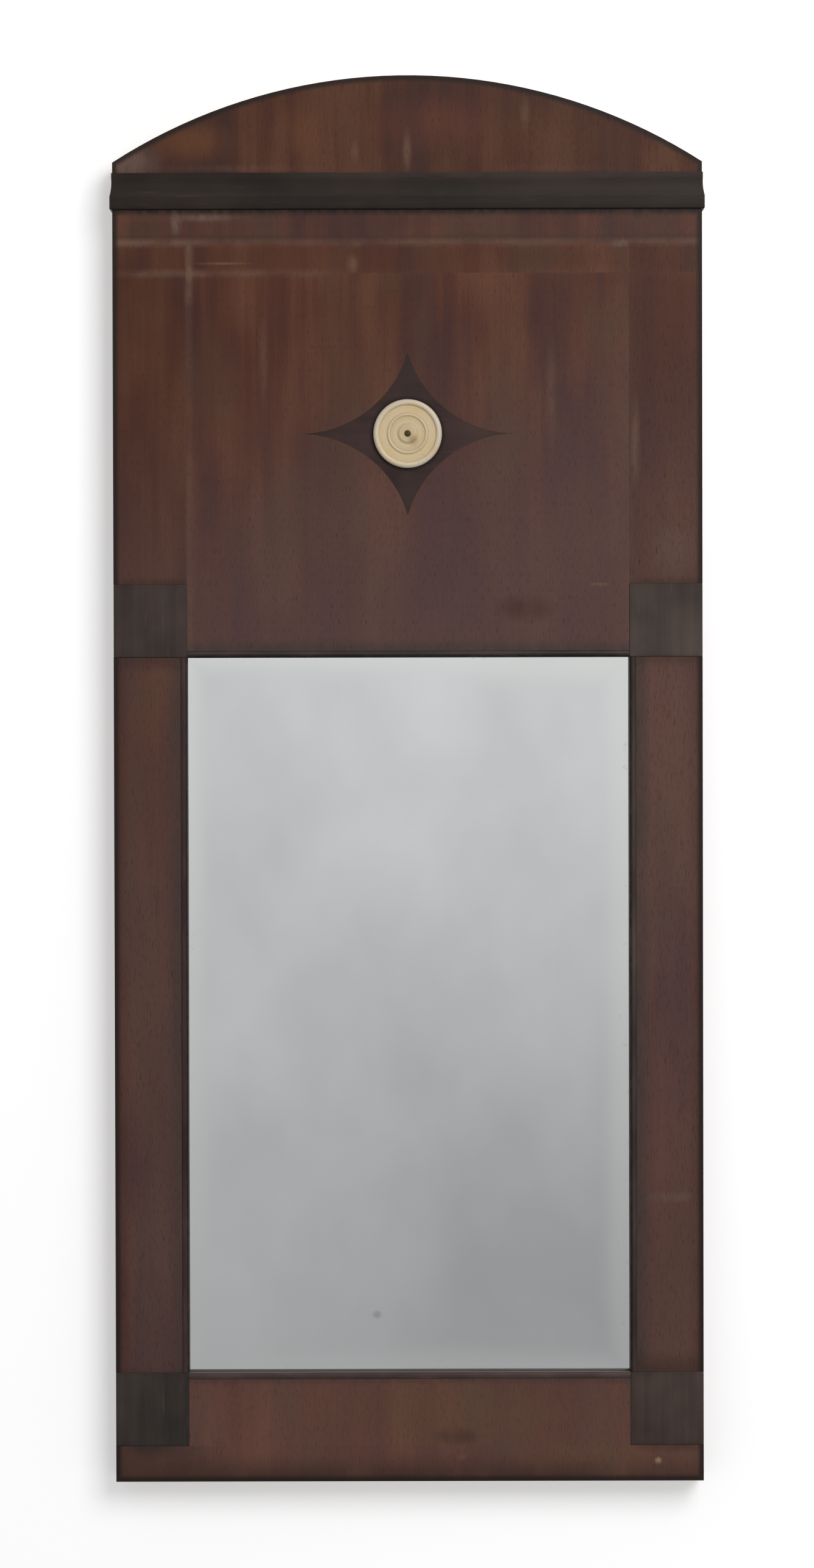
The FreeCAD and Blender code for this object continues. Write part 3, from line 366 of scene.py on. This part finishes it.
def mahogany(
    name, along="z", tone=1.0, seed=0.0, bloom=0.0, haze_and_sheen=0.55, olive=0.6, contrast=1.0,
    front=True, seams=False, marks=(),
):
    """A leaf of old polished mahogany.

    Olive is the share of greenish brown. Bloom dulls the polish, and a haze dulls it further towards the
    lower right; the haze is partly dulled polish and partly painted sheen. A leaf of the front is darker
    along the outer edges, and the leaves of the sides and the arch have lost their polish. Seams rub it thin
    along the joints between the upper leaves.
    """
    finish = Finish(name)
    figure = finish.grain(along, *FIGURE, 2, seed)
    streaks = finish.grain(along, *STREAK, 3, seed + 3)
    lines = finish.grain(along, *FINE_LINE, 2, seed + 8)
    pores = finish.between(finish.grain(along, *OPEN_PORE, 1, seed + 12), 0.6, 0.7)
    cloud = finish.noise(CLOUD, 3, seed + 17)
    shade = finish.weighted((figure, 0.4), (streaks, 0.17), (lines, 0.08), (cloud, 0.35))
    spread = FIGURE_SPREAD / contrast
    colour = finish.ramp(
        shade,
        (0.5 - spread, times(PLUM, tone)),
        (0.5, times(RUSSET, tone)),
        (0.5 + spread, times(TAN, tone)),
    )
    drift = finish.grain(along, *DRIFT, 3, seed + 21)
    colour = finish.mix(finish.between(drift, 0.46, 0.66, 0.0, olive), colour, times(OLIVE, tone))
    # Haze of old polish with painted sheen, growing towards the lower right
    lower_right = finish.weighted((finish.z, -1.0), (finish.x, HAZE_AND_SHEEN_SLANT))
    haze_and_sheen_share = finish.between(lower_right, HAZE_AND_SHEEN_START, HAZE_AND_SHEEN_FULL, bloom, haze_and_sheen)
    colour = finish.mix(haze_and_sheen_share, colour, HAZE_AND_SHEEN)
    colour = finish.marked(colour, along, seed, marks)
    if seams:
        colour = finish.mix(rubbed_seams(finish), colour, RUBBED)
    colour = finish.mix(finish.math("MULTIPLY", pores, PORE_SHARE), colour, times(PORE, tone))
    if front:
        # Darker along the outer edges of the front
        colour = finish.mix(edge_darkening(finish), colour, GRIME_AND_SHADE)
    finish.set(base_color=colour, specular_ior_level=0.15)
    smoothest, relief = POLISHED if front else UNPOLISHED
    finish.set(roughness=finish.weighted((cloud, 0.25), (streaks, 0.12), (pores, 0.2), base=smoothest))
    finish.bump(finish.weighted((pores, -0.7), (lines, 0.5), (streaks, 0.6)), relief, 0.0004)
    return finish


# Colours of worn and stained marks, and of painted shade
PALE = (0.13, 0.08, 0.062)
ORANGE = (0.115, 0.043, 0.017)
GREY = (0.135, 0.084, 0.064)
LIGHT = (0.15, 0.08, 0.05)
BROWN = (0.122, 0.066, 0.034)
AMBER = (0.135, 0.06, 0.026)
ROSE = (0.13, 0.052, 0.044)
REDDISH = (0.066, 0.022, 0.016)
SHADY = (0.045, 0.022, 0.015)
# Painted shade on the leaves beside the beads round the glass
PAINTED_SHADE = (0.054, 0.037, 0.033)

# A half size that takes a mark past both ends of its piece
LONG = 9.0

# A pale spot at the corner where the top band and the panel meet the leaves on the left
CORNER_SPOT = (-0.1665, BAND_SEAM, 0.005, 0.008, 0.8, LIGHT)

# Marks: x, z, half width, half height, strength and colour of each
PEDIMENT_MARKS = (
    (-0.214, 1.008, 0.034, 0.026, 1.0, PALE),
    (-0.165, 1.024, 0.046, 0.022, 0.9, ORANGE),
    (-0.075, 1.03, 0.03, 0.03, 0.7, ORANGE),
    (0.02, 1.036, 0.07, 0.03, 0.7, (0.112, 0.034, 0.02)),
    (0.1, 1.03, 0.05, 0.026, 0.25, ORANGE),
    (0.0, 1.017, 0.005, 0.022, 0.6, LIGHT),
    (-0.04, 1.016, 0.005, 0.012, 0.4, LIGHT),
    (0.09, 1.046, 0.006, 0.018, 0.4, LIGHT),
    (-0.13, 1.0035, 0.09, 0.004, 0.2, GREY),
    (0.11, 1.0035, 0.06, 0.004, 0.12, GREY),
)
FRIEZE_MARKS = (
    (-0.1765, 0.962, 0.006, 0.013, 0.9, GREY),
    (-0.155, 0.9662, 0.034, 0.0048, 0.9, GREY),
    (0.163, 0.9465, 0.01, 0.003, 0.9, PALE),
    (-0.2, 0.958, 0.026, 0.016, 0.6, SHADY),
    (-0.03, 0.962, 0.05, 0.012, 0.4, SHADY),
    (0.0, FRIEZE_SEAM + 0.005, LONG, 0.003, 0.5, SHADY),
    # Painted shadow: a dark band along the top of the frieze, under the cornice
    (0.0, CORNICE_FOOT, LONG, 0.0064, 1.0, GRIME_AND_SHADE),
)
BAND_MARKS = (
    (-0.042, 0.93, 0.006, 0.01, 0.7, LIGHT),
    (-0.14, 0.931, 0.03, 0.0015, 0.7, RUBBED),
    CORNER_SPOT,
    (0.163, 0.945, 0.01, 0.003, 0.9, PALE),
    (0.11, 0.934, 0.06, 0.014, 0.35, SHADY),
)
PANEL_MARKS = (
    CORNER_SPOT,
    (0.146, 0.686, 0.01, 0.002, 0.8, LIGHT),
    (0.09, 0.668, 0.03, 0.014, 0.6, PLUM),
    # Painted shadow: the foot of the panel darker, just above the glass
    (0.0, PANEL_FOOT, LONG, 0.011, 0.9, PAINTED_SHADE),
    (0.11, 0.83, 0.006, 0.06, 0.35, LIGHT),
    (-0.11, 0.86, 0.005, 0.05, 0.35, LIGHT),
)
LEFT_UPPER_MARKS = (
    (-0.197, BLOCK_TOP, LONG, 0.007, 0.7, SHADY),
)
RIGHT_UPPER_MARKS = (
    (0.174, 0.795, 0.005, 0.045, 0.6, LIGHT),
    (0.203, 0.712, 0.024, 0.03, 0.4, PALE),
    (0.197, 0.87, 0.06, 0.09, 0.5, (0.072, 0.022, 0.011)),
    (0.197, BLOCK_TOP, LONG, 0.007, 0.6, SHADY),
)
LEFT_PILASTER_MARKS = (
    (-0.199, 0.54, 0.06, 0.11, 0.25, ORANGE),
    (-0.196, 0.6, 0.03, 0.045, 0.35, AMBER),
    (-0.196, 0.15, 0.024, 0.13, 0.26, PALE),
    (-0.2235, 0.36, 0.013, LONG, 0.7, REDDISH),
    # Painted shade: the inner edge of the pilaster darker, beside the bead
    (-0.174, 0.36, 0.012, LONG, 0.7, PAINTED_SHADE),
    (-0.199, PILASTER_TOP, LONG, 0.014, 0.6, SHADY),
    (-0.199, PILASTER_FOOT, LONG, 0.006, 0.4, SHADY),
)
RIGHT_PILASTER_MARKS = (
    (0.199, 0.54, 0.06, 0.12, 0.3, LIGHT),
    (0.199, 0.19, 0.06, 0.13, 0.25, SHADY),
    (0.197, 0.6, 0.03, 0.05, 0.4, ROSE),
    (0.196, 0.25, 0.026, 0.13, 0.45, ROSE),
    (0.2, 0.2175, 0.03, 0.006, 0.55, PALE),
    (0.2235, 0.36, 0.012, LONG, 0.5, REDDISH),
    # Painted shade: the inner edge of the pilaster darker, beside the bead
    (0.174, 0.36, 0.014, LONG, 0.9, PAINTED_SHADE),
    (0.199, PILASTER_TOP, LONG, 0.01, 0.5, SHADY),
    (0.199, PILASTER_FOOT, LONG, 0.02, 0.7, SHADY),
)
RAIL_MARKS = (
    (0.03, 0.055, 0.17, 0.06, 0.5, BROWN),
    (0.036, 0.034, 0.024, 0.01, 0.7, SHADY),
    # Painted shadow: the top of the rail darker, just under the glass
    (0.0, RAIL_TOP, LONG, 0.006, 0.6, PAINTED_SHADE),
)
BASE_MARKS = (
    (0.14, 0.022, 0.14, 0.03, 0.35, BROWN),
    (0.0, -0.002, 0.6, 0.026, 0.95, SHADY),
    (-0.21, 0.01, 0.09, 0.04, 0.8, SHADY),
    (-0.2, BASE_TOP, 0.045, 0.012, 0.75, (0.03, 0.02, 0.018)),
    (0.2, BASE_TOP, 0.04, 0.008, 0.6, SHADY),
    (0.19, 0.0155, 0.0035, 0.0035, 1.0, (0.3, 0.21, 0.12)),
    (0.04, 0.0185, 0.005, 0.003, 0.6, LIGHT),
)

LEAVES = {
    "pediment": dict(tone=0.83, seed=1.3, olive=0.25, contrast=1.5, marks=PEDIMENT_MARKS),
    "frieze": dict(tone=0.98, seed=2.1, bloom=0.16, contrast=1.4, seams=True, marks=FRIEZE_MARKS),
    "top_band": dict(tone=1.03, seed=3.4, olive=0.75, contrast=0.7, seams=True, marks=BAND_MARKS),
    "left_band": dict(tone=0.9, seed=5.2, seams=True),
    "right_band": dict(tone=0.88, seed=6.6, seams=True),
    "panel": dict(tone=1.04, seed=7.9, haze_and_sheen=0.66, contrast=1.2, seams=True, marks=PANEL_MARKS),
    "left_upper": dict(tone=0.83, seed=9.1, seams=True, marks=LEFT_UPPER_MARKS),
    "right_upper": dict(
        tone=0.92, seed=10.7, haze_and_sheen=0.42, olive=0.05, contrast=0.7, seams=True, marks=RIGHT_UPPER_MARKS,
    ),
    "left_pilaster": dict(tone=0.85, seed=12.5, haze_and_sheen=0.5, contrast=2.0, marks=LEFT_PILASTER_MARKS),
    "right_pilaster": dict(tone=0.97, seed=14.2, haze_and_sheen=0.57, contrast=2.0, marks=RIGHT_PILASTER_MARKS),
    "bottom_rail": dict(tone=1.56, seed=15.8, haze_and_sheen=0.5, olive=0.8, contrast=0.8, marks=RAIL_MARKS),
    "base_band": dict(tone=1.5, seed=15.8, haze_and_sheen=0.5, olive=0.8, contrast=0.8, marks=BASE_MARKS),
    "left_side": dict(tone=0.9, seed=19.3, front=False),
    "right_side": dict(tone=0.95, seed=20.9, front=False),
    "arch_edge": dict(along="x", tone=0.9, seed=22.4, front=False),
}
for leaf, looks in LEAVES.items():
    dress(mahogany("mahogany_" + leaf, **looks), leaf + "_veneer")


# Ebonised wood

# Width and length of the features in the grain, and the size of its clouds
STAIN_STREAK = (0.006, 0.16)
STAIN_LINE = (0.0007, 0.05)
STAIN_SCUFF = (0.002, 0.03)
STAIN_CLOUD = (0.06, 0.06, 0.06)

# Dirt and painted shade along a block's joints, and painted shade round the foot of a turned piece in units
# of its radius
JOINT_DIRT_AND_SHADE_WIDTH = 0.005
JOINT_DIRT_AND_SHADE = 0.15
FOOT_SHADE_REACH = 1.14
FOOT_SHADE = 0.95


def ebonised(name, along, stain, seed=0.0, rubbed=0.35, block=None, round_foot=None, marks=()):
    """Fruitwood stained nearly black under polish, rubbed to brown in places.

    A block also has dirt and painted shade along its joints with the leaves beside it, and painted shade lies
    round the foot of a turned piece that stands on the wood.
    """
    finish = Finish(name)
    streaks = finish.grain(along, *STAIN_STREAK, 3, seed)
    lines = finish.grain(along, *STAIN_LINE, 2, seed + 5)
    cloud = finish.noise(STAIN_CLOUD, 3, seed + 9)
    shade = finish.weighted((streaks, 0.25), (lines, 0.06), (cloud, 0.69))
    colour = finish.ramp(shade, (0.36, times(stain, 0.65)), (0.5, stain), (0.64, times(stain, 1.4)))
    scuffs = finish.between(finish.grain(along, *STAIN_SCUFF, 4, seed + 14), 0.6, 0.74, 0.0, rubbed)
    colour = finish.mix(scuffs, colour, times(stain, 2.2))
    colour = finish.marked(colour, along, seed, marks)
    if block:
        # Dirt and painted shade along the block's joints
        darkening = finish.between(finish.inset(block), JOINT_DIRT_AND_SHADE_WIDTH, 0.0, 0.0, JOINT_DIRT_AND_SHADE)
        colour = finish.mix(darkening, colour, GRIME_AND_SHADE)
    if round_foot:
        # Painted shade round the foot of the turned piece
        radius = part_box(round_foot)[1].x - middle(round_foot).x
        out = finish.reach(middle(round_foot), (radius, 0, radius))
        darkening = finish.between(out, FOOT_SHADE_REACH, 1.0, 0.0, FOOT_SHADE)
        colour = finish.mix(darkening, colour, GRIME_AND_SHADE)
    finish.set(base_color=colour, specular_ior_level=0.12)
    finish.set(roughness=finish.weighted((cloud, 0.3), (scuffs, 0.3), base=0.24))
    finish.bump(finish.weighted((lines, 0.3), (streaks, 0.3), (cloud, 0.4)), 0.15, 0.0003)
    return finish


ROUNDEL = middle("bone_roundel")
SIGHT_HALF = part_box("top_bead")[1].x
SIGHT_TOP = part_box("top_bead")[0].z

# Marks: x, z, half width, half height, strength and colour of each
CORNICE_MARKS = (
    # Painted light: the upper part of the cornice lighter, more to the right
    (0.09, CORNICE_TOP, 0.27, 0.0085, 0.9, (0.041, 0.028, 0.022)),
    (0.16, 0.984, 0.11, 0.016, 0.3, GRIME_AND_SHADE),
    # Painted shade: the foot of the cornice darker along its whole length
    (0.0, CORNICE_FOOT, LONG, 0.006, 0.8, GRIME_AND_SHADE),
)
# Painted shadow: a dark line on each bead along its edge against the glass
LEFT_BEAD_MARKS = (
    (-SIGHT_HALF, 0.36, 0.0022, LONG, 1.0, GRIME_AND_SHADE),
)
RIGHT_BEAD_MARKS = (
    (SIGHT_HALF, 0.36, 0.003, LONG, 1.0, GRIME_AND_SHADE),
)
TOP_BEAD_MARKS = (
    (0.0, SIGHT_TOP, LONG, 0.0038, 1.0, GRIME_AND_SHADE),
)
STAR_MARKS = (
    (0.062, ROUNDEL.z, 0.05, 0.03, 0.75, (0.072, 0.04, 0.034)),
    (0.0, ROUNDEL.z + 0.045, 0.02, 0.03, 0.6, (0.034, 0.021, 0.0145)),
    (0.0, ROUNDEL.z - 0.045, 0.012, 0.03, 0.6, (0.044, 0.029, 0.021)),
)

# Stains: the cornice, each block with its seed, the beads, the star and the pin
CORNICE_STAIN = (0.022, 0.0155, 0.012)
BLOCK_STAINS = {
    "upper_left_block": ((0.045, 0.032, 0.028), 35.0),
    "upper_right_block": ((0.058, 0.043, 0.036), 37.0),
    "lower_left_block": ((0.0365, 0.0295, 0.025), 39.0),
    "lower_right_block": ((0.054, 0.0375, 0.032), 41.0),
}
LEFT_BEAD_STAIN = (0.044, 0.026, 0.025)
RIGHT_BEAD_STAIN = (0.049, 0.037, 0.031)
TOP_BEAD_STAIN = (0.045, 0.034, 0.031)
BOTTOM_BEAD_STAIN = (0.064, 0.041, 0.037)
STAR_STAIN = (0.036, 0.02, 0.0185)
PIN_STAIN = (0.07, 0.045, 0.016)

dress(ebonised("ebonised_cornice", "x", CORNICE_STAIN, 31.0, marks=CORNICE_MARKS), "cornice_front")
dress(ebonised("ebonised_returns", "y", CORNICE_STAIN, 33.0), "cornice_left_return", "cornice_right_return")
for block, (stain, seed) in BLOCK_STAINS.items():
    dress(ebonised("ebonised_" + block, "z", stain, seed, block=block), block)
dress(ebonised("ebonised_left_bead", "z", LEFT_BEAD_STAIN, 43.0, marks=LEFT_BEAD_MARKS), "left_bead")
dress(ebonised("ebonised_right_bead", "z", RIGHT_BEAD_STAIN, 44.0, marks=RIGHT_BEAD_MARKS), "right_bead")
dress(ebonised("ebonised_top_bead", "x", TOP_BEAD_STAIN, 45.0, marks=TOP_BEAD_MARKS), "top_bead")
dress(ebonised("ebonised_bottom_bead", "x", BOTTOM_BEAD_STAIN, 46.0), "bottom_bead")
dress(
    ebonised("ebonised_star", "x", STAR_STAIN, 47.0, rubbed=0.2, round_foot="bone_roundel", marks=STAR_MARKS),
    "star_inlay",
)


# Bone roundel and its pin

BONE_FIELD = (0.62, 0.485, 0.285)
BONE_RIDGE = (0.63, 0.5, 0.31)
BONE_GROOVE = (0.52, 0.4, 0.24)
BONE_RIM = (0.64, 0.54, 0.41)
BONE_STAIN = (0.58, 0.42, 0.19)
BONE_PIT = (0.24, 0.16, 0.08)
BONE_MARKS = (
    (0.004, ROUNDEL.z - 0.005, 0.006, 0.006, 0.7, (0.3, 0.2, 0.09)),
)

# Sizes of stains and pits, and the rate of the fine turning marks per radius
STAIN_SIZE = (0.02, 0.02, 0.02)
PIT_SIZE = (0.0009, 0.0009, 0.0022)
TURNING_RATE = 420.0


def bone():
    """Turned bone: yellowed, paler on the rim, with dirt in the turned grooves."""
    finish = Finish("bone")
    low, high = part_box("bone_roundel")
    radius = (high.x - low.x) / 2
    out = finish.reach(ROUNDEL, (radius, 0, radius))
    # Places are shares of the radius, from the middle to the rim
    colour = finish.ramp(
        out,
        (0.0, times(BONE_FIELD, 0.8)),
        (0.22, times(BONE_FIELD, 0.9)),
        (0.29, BONE_GROOVE),
        (0.34, BONE_FIELD),
        (0.49, times(BONE_FIELD, 0.85)),
        (0.51, BONE_GROOVE),
        (0.55, BONE_RIDGE),
        (0.6, BONE_GROOVE),
        (0.64, BONE_FIELD),
        (0.8, times(BONE_FIELD, 0.95)),
        (0.83, times(BONE_FIELD, 0.9)),
        (0.87, BONE_RIM),
        (1.0, times(BONE_RIM, 0.92)),
    )
    stain = finish.noise(STAIN_SIZE, 4, 2.0)
    colour = finish.mix(finish.between(stain, 0.45, 0.7, 0.0, 0.5), colour, BONE_STAIN)
    colour = finish.marked(colour, "z", 3.0, BONE_MARKS)
    pits = finish.between(finish.noise(PIT_SIZE, 2, 6.0), 0.64, 0.74)
    colour = finish.mix(finish.math("MULTIPLY", pits, 0.45), colour, BONE_PIT)
    turning = finish.math("SINE", finish.math("MULTIPLY", out, TURNING_RATE))
    finish.set(base_color=colour, specular_ior_level=0.45)
    finish.set(roughness=finish.weighted((stain, 0.25), (pits, 0.2), base=0.24))
    finish.bump(finish.weighted((turning, 0.12), (pits, -0.6)), 0.3, 0.0002)
    return finish


dress(bone(), "bone_roundel")
dress(ebonised("horn_pin", "y", PIN_STAIN, 49.0), "roundel_pin")


# Mirror plate

SILVER_DIM = (0.605, 0.618, 0.63)
SILVER_BRIGHT = (0.778, 0.79, 0.8)
SILVER_BORDER = (0.8, 0.815, 0.79)
SILVER_LOST = (0.2, 0.19, 0.17)

# How much one diagonal is brighter than the other, a painted reflection, and how far clouds bend the pale
# border
REFLECTION_DIAGONAL = 0.27
BORDER_BEND = 0.03

FLECK_PLACE = (-0.025, 0, 0.1265)
FLECK_SIZE = (0.0048, 0, 0.0042)


def silvering():
    """An old mirror plate: cloudy, paler towards its borders, with faint foxing there and one dark fleck, and
    brighter along one diagonal as a painted reflection.
    """
    finish = Finish("mirror_plate")
    low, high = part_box("mirror_plate")
    cloud = finish.noise((0.11, 0.11, 0.15), 3, 1.0)
    across = finish.math("DIVIDE", finish.x, high.x)
    upwards = finish.between(finish.z, low.z, high.z, -1.0, 1.0)
    # Painted reflection: one diagonal of the plate brighter than the other
    shade = finish.weighted((cloud, 1.0), (finish.math("MULTIPLY", across, upwards), REFLECTION_DIAGONAL))
    colour = finish.ramp(shade, (0.2, SILVER_DIM), (0.8, SILVER_BRIGHT))
    inset = finish.inset("mirror_plate")
    edge = finish.weighted((inset, 1.0), (cloud, BORDER_BEND), base=-BORDER_BEND / 2)
    colour = finish.mix(finish.between(edge, 0.03, 0.009, 0.0, 0.6), colour, SILVER_BORDER)
    specks = finish.between(finish.noise((0.009, 0.009, 0.009), 4, 7.0, 0.6), 0.6, 0.76)
    foxing = finish.math("MULTIPLY", finish.between(edge, 0.018, 0.007), specks)
    fleck = finish.between(finish.reach(FLECK_PLACE, FLECK_SIZE), 1.0, 0.2, 0.0, 0.5)
    flaws = finish.math("MAXIMUM", finish.math("MULTIPLY", foxing, 0.25), fleck)
    colour = finish.mix(flaws, colour, SILVER_LOST)
    finish.set(base_color=colour, metallic=1.0)
    finish.set(roughness=finish.weighted((flaws, 0.4), (cloud, 0.05), base=0.02))
    finish.bump(finish.noise((0.13, 0.13, 0.17), 1, 12.0), 0.02, 0.02)
    return finish


dress(silvering(), "mirror_plate")


# Pine

EARLY_WOOD = (0.3, 0.18, 0.09)
LATE_WOOD = (0.19, 0.095, 0.04)
FIBRE_BROWN = (0.15, 0.085, 0.045)
DIRT_BROWN = (0.1, 0.065, 0.042)
SIGHT_STAIN = (0.022, 0.018, 0.016)

# The depth in front of the back where the dark stain of the sight opening begins, and its soft edge
SIGHT_EDGE = 0.0178
SIGHT_BLEED = 0.0004

# Rates of the year rings across the grain and in depth, and how far they waver
RINGS_ACROSS = 700.0
RINGS_DEEP = 260.0
RINGS_WAVER = 46.0


def pine(name, along, seed=0.0, tone=1.0):
    """Old bare softwood, browned and dirty, stained dark where it shows inside the sight opening."""
    finish = Finish(name)
    warp = finish.grain(along, 0.05, 0.6, 2, seed)
    across = {"x": finish.z, "z": finish.x, "y": finish.x}[along]
    turns = finish.weighted((across, RINGS_ACROSS), (warp, RINGS_WAVER), (finish.y, RINGS_DEEP))
    late = finish.between(finish.math("SINE", turns), 0.1, 1.0)
    fibre = finish.grain(along, 0.0008, 0.05, 3, seed + 4)
    darkening = finish.noise((0.12, 0.12, 0.12), 4, seed + 9)
    colour = finish.mix(finish.math("MULTIPLY", late, 0.75), times(EARLY_WOOD, tone), times(LATE_WOOD, tone))
    colour = finish.mix(finish.between(fibre, 0.4, 0.75, 0.0, 0.35), colour, times(FIBRE_BROWN, tone))
    colour = finish.mix(finish.between(darkening, 0.45, 0.75, 0.05, 0.55), colour, DIRT_BROWN)
    stain = finish.between(finish.y, -SIGHT_EDGE + SIGHT_BLEED, -SIGHT_EDGE)
    colour = finish.mix(stain, colour, SIGHT_STAIN)
    finish.set(base_color=colour, specular_ior_level=0.25)
    finish.set(roughness=finish.weighted((fibre, 0.2), (darkening, 0.1), base=0.6))
    finish.bump(finish.weighted((late, 0.5), (fibre, 0.8)), 0.35, 0.0005)
    return finish


dress(pine("pine_left_stile", "z", 1.0), "left_stile")
dress(pine("pine_right_stile", "z", 4.0, 0.94), "right_stile")
dress(pine("pine_bottom_rail", "x", 7.0), "bottom_rail")
dress(pine("pine_cross_rail", "x", 10.0, 1.05), "cross_rail")
dress(pine("pine_top_rail", "x", 13.0, 0.92), "top_rail")
dress(pine("pine_crest_board", "x", 16.0), "crest_board")
dress(pine("pine_upper_panel", "z", 19.0, 0.9), "upper_panel")
dress(pine("pine_left_backboard", "z", 22.0, 0.86), "backboard_left")
dress(pine("pine_right_backboard", "z", 25.0, 0.8), "backboard_right")
dress(pine("pine_pegs", "y", 28.0, 0.7), "joint_pegs")
dress(pine("pine_wedges", "z", 31.0, 1.1), "plate_wedges")


# Iron

IRON_DARK = (0.035, 0.033, 0.032)
IRON_WORN = (0.1, 0.095, 0.09)
IRON_RUST = (0.11, 0.045, 0.02)


def iron(name, seed, rust=0.5):
    """Dark wrought iron with pitting and brown rust."""
    finish = Finish(name)
    patches = finish.noise((0.006, 0.006, 0.006), 5, seed, 0.6)
    pits = finish.noise((0.0008, 0.0008, 0.0008), 3, seed + 5)
    bloom = finish.between(patches, 0.45, 0.68, 0.0, rust)
    colour = finish.ramp(pits, (0.35, IRON_DARK), (0.7, IRON_WORN))
    colour = finish.mix(bloom, colour, IRON_RUST)
    finish.set(base_color=colour)
    finish.set(metallic=finish.between(bloom, 0.1, 0.5, 0.9, 0.2))
    finish.set(roughness=finish.weighted((bloom, 0.5), (pits, 0.2), base=0.32))
    finish.bump(finish.weighted((pits, 0.5), (patches, 0.6)), 0.35, 0.0002)
    return finish


dress(iron("iron_ring", 1.0, 0.35), "hanger_ring")
dress(iron("iron_strap", 4.0, 0.5), "hanger_plate")
dress(iron("iron_screws", 7.0, 0.4), "hanger_screws", "crest_screws")
dress(iron("iron_nails", 10.0, 0.7), "backboard_nails")


# Eased edges

BLOCK_EASE = 0.0005
BOARD_EASE = 0.0008
EASE_SEGMENTS = 2
WELD_DISTANCE = 0.00001


def ease(width, *names):
    """Rounds the hard edges of CAD nodes a little, by modifiers that leave their meshes alone."""
    for name in names:
        weld = nodes[name].modifiers.new("weld", "WELD")
        weld.merge_threshold = WELD_DISTANCE
        bevel = nodes[name].modifiers.new("ease", "BEVEL")
        bevel.width = width
        bevel.segments = EASE_SEGMENTS
        bevel.limit_method = "ANGLE"
        bevel.harden_normals = True


ease(BLOCK_EASE, *BLOCK_STAINS)
ease(BOARD_EASE, "backboard_left", "backboard_right", "plate_wedges")


# Wall and light

PAINT = (0.86, 0.86, 0.86)
WALL_GLOW = 0.33
FLOOR_GLOW = 0.75
WALL_REACH = 1.4
WALL = 0.001
FLOOR = -0.35


def paper(name, colour, glow):
    """A pale matt surface that the camera sees from its front only, lifted towards white."""
    material = bpy.data.materials.new(name)
    material.use_nodes = True
    graph = Graph(material.node_tree)
    graph.tree.nodes.clear()
    matt = graph.add("ShaderNodeBsdfDiffuse")
    graph.put(matt.inputs["Color"], colour)
    light = graph.add("ShaderNodeEmission")
    seen = graph.add("ShaderNodeLightPath").outputs["Is Camera Ray"]
    graph.put(light.inputs["Strength"], graph.math("MULTIPLY", seen, glow))
    both = graph.add("ShaderNodeAddShader")
    graph.put(both.inputs[0], matt.outputs[0])
    graph.put(both.inputs[1], light.outputs[0])
    sided = graph.add("ShaderNodeMixShader")
    graph.put(sided.inputs[0], graph.add("ShaderNodeNewGeometry").outputs["Backfacing"])
    graph.put(sided.inputs[1], both.outputs[0])
    graph.put(sided.inputs[2], graph.add("ShaderNodeBsdfTransparent").outputs[0])
    graph.put(graph.add("ShaderNodeOutputMaterial").inputs["Surface"], sided.outputs[0])
    return material


def plane(name, corners, material):
    """A flat surface that the camera sees. It gives the object no light, reflection or shadow."""
    mesh = bpy.data.meshes.new(name)
    mesh.from_pydata(corners, [], [(0, 1, 2, 3)])
    mesh.materials.append(material)
    made = link(name, mesh)
    made.visible_diffuse = False
    made.visible_glossy = False
    made.visible_shadow = False


SQUARE = [
    (-WALL_REACH, -WALL_REACH),
    (WALL_REACH, -WALL_REACH),
    (WALL_REACH, WALL_REACH),
    (-WALL_REACH, WALL_REACH),
]
plane("wall", [(along, WALL, up) for along, up in SQUARE], paper("wall_paint", PAINT, WALL_GLOW))
plane("floor", [(along, deep, FLOOR) for along, deep in SQUARE], paper("floor_paint", PAINT, FLOOR_GLOW))


def lamp(name, place, size, power):
    """A square soft lamp aimed at the middle of the object."""
    data = bpy.data.lights.new(name, "AREA")
    data.size = size
    data.energy = power
    made = link(name, data)
    target = (cad_box[0] + cad_box[1]) / 2
    made.location = place
    made.rotation_euler = (target - Vector(place)).to_track_quat("-Z", "Y").to_euler()


lamp("key", place=(1.4, -2.8, 2.15), size=1.9, power=68.5)
lamp("back_right", place=(1.6, 2.4, 2.0), size=1.4, power=50.0)
lamp("back_left", place=(-1.9, 2.2, 1.2), size=1.4, power=30.0)

WHITE = (1.0, 1.0, 1.0)
ROOM_GREY = (0.45, 0.45, 0.45)
ROOM_LOW = (0.445, 0.445, 0.445)
ROOM_HIGH = (0.82, 0.82, 0.82)

# Slopes of the view between which the reflected room turns from its low to its high grey
ROOM_SLOPES = (-0.17, 0.04)


def light_room():
    """White to the camera, grey light for the object, and a room that darkens downwards in reflections."""
    world = bpy.data.worlds.new("studio")
    scene.world = world
    world.use_nodes = True
    graph = Graph(world.node_tree)
    parts = graph.add("ShaderNodeSeparateXYZ")
    graph.put(parts.inputs[0], graph.add("ShaderNodeTexCoord").outputs["Generated"])
    rise = graph.between(parts.outputs["Z"], *ROOM_SLOPES)
    room = graph.ramp(rise, (0.0, ROOM_LOW), (1.0, ROOM_HIGH))
    path = graph.add("ShaderNodeLightPath")
    seen = graph.mix(path.outputs["Is Glossy Ray"], ROOM_GREY, room)
    seen = graph.mix(path.outputs["Is Camera Ray"], seen, WHITE)
    graph.put(world.node_tree.nodes["Background"].inputs["Color"], seen)


light_room()
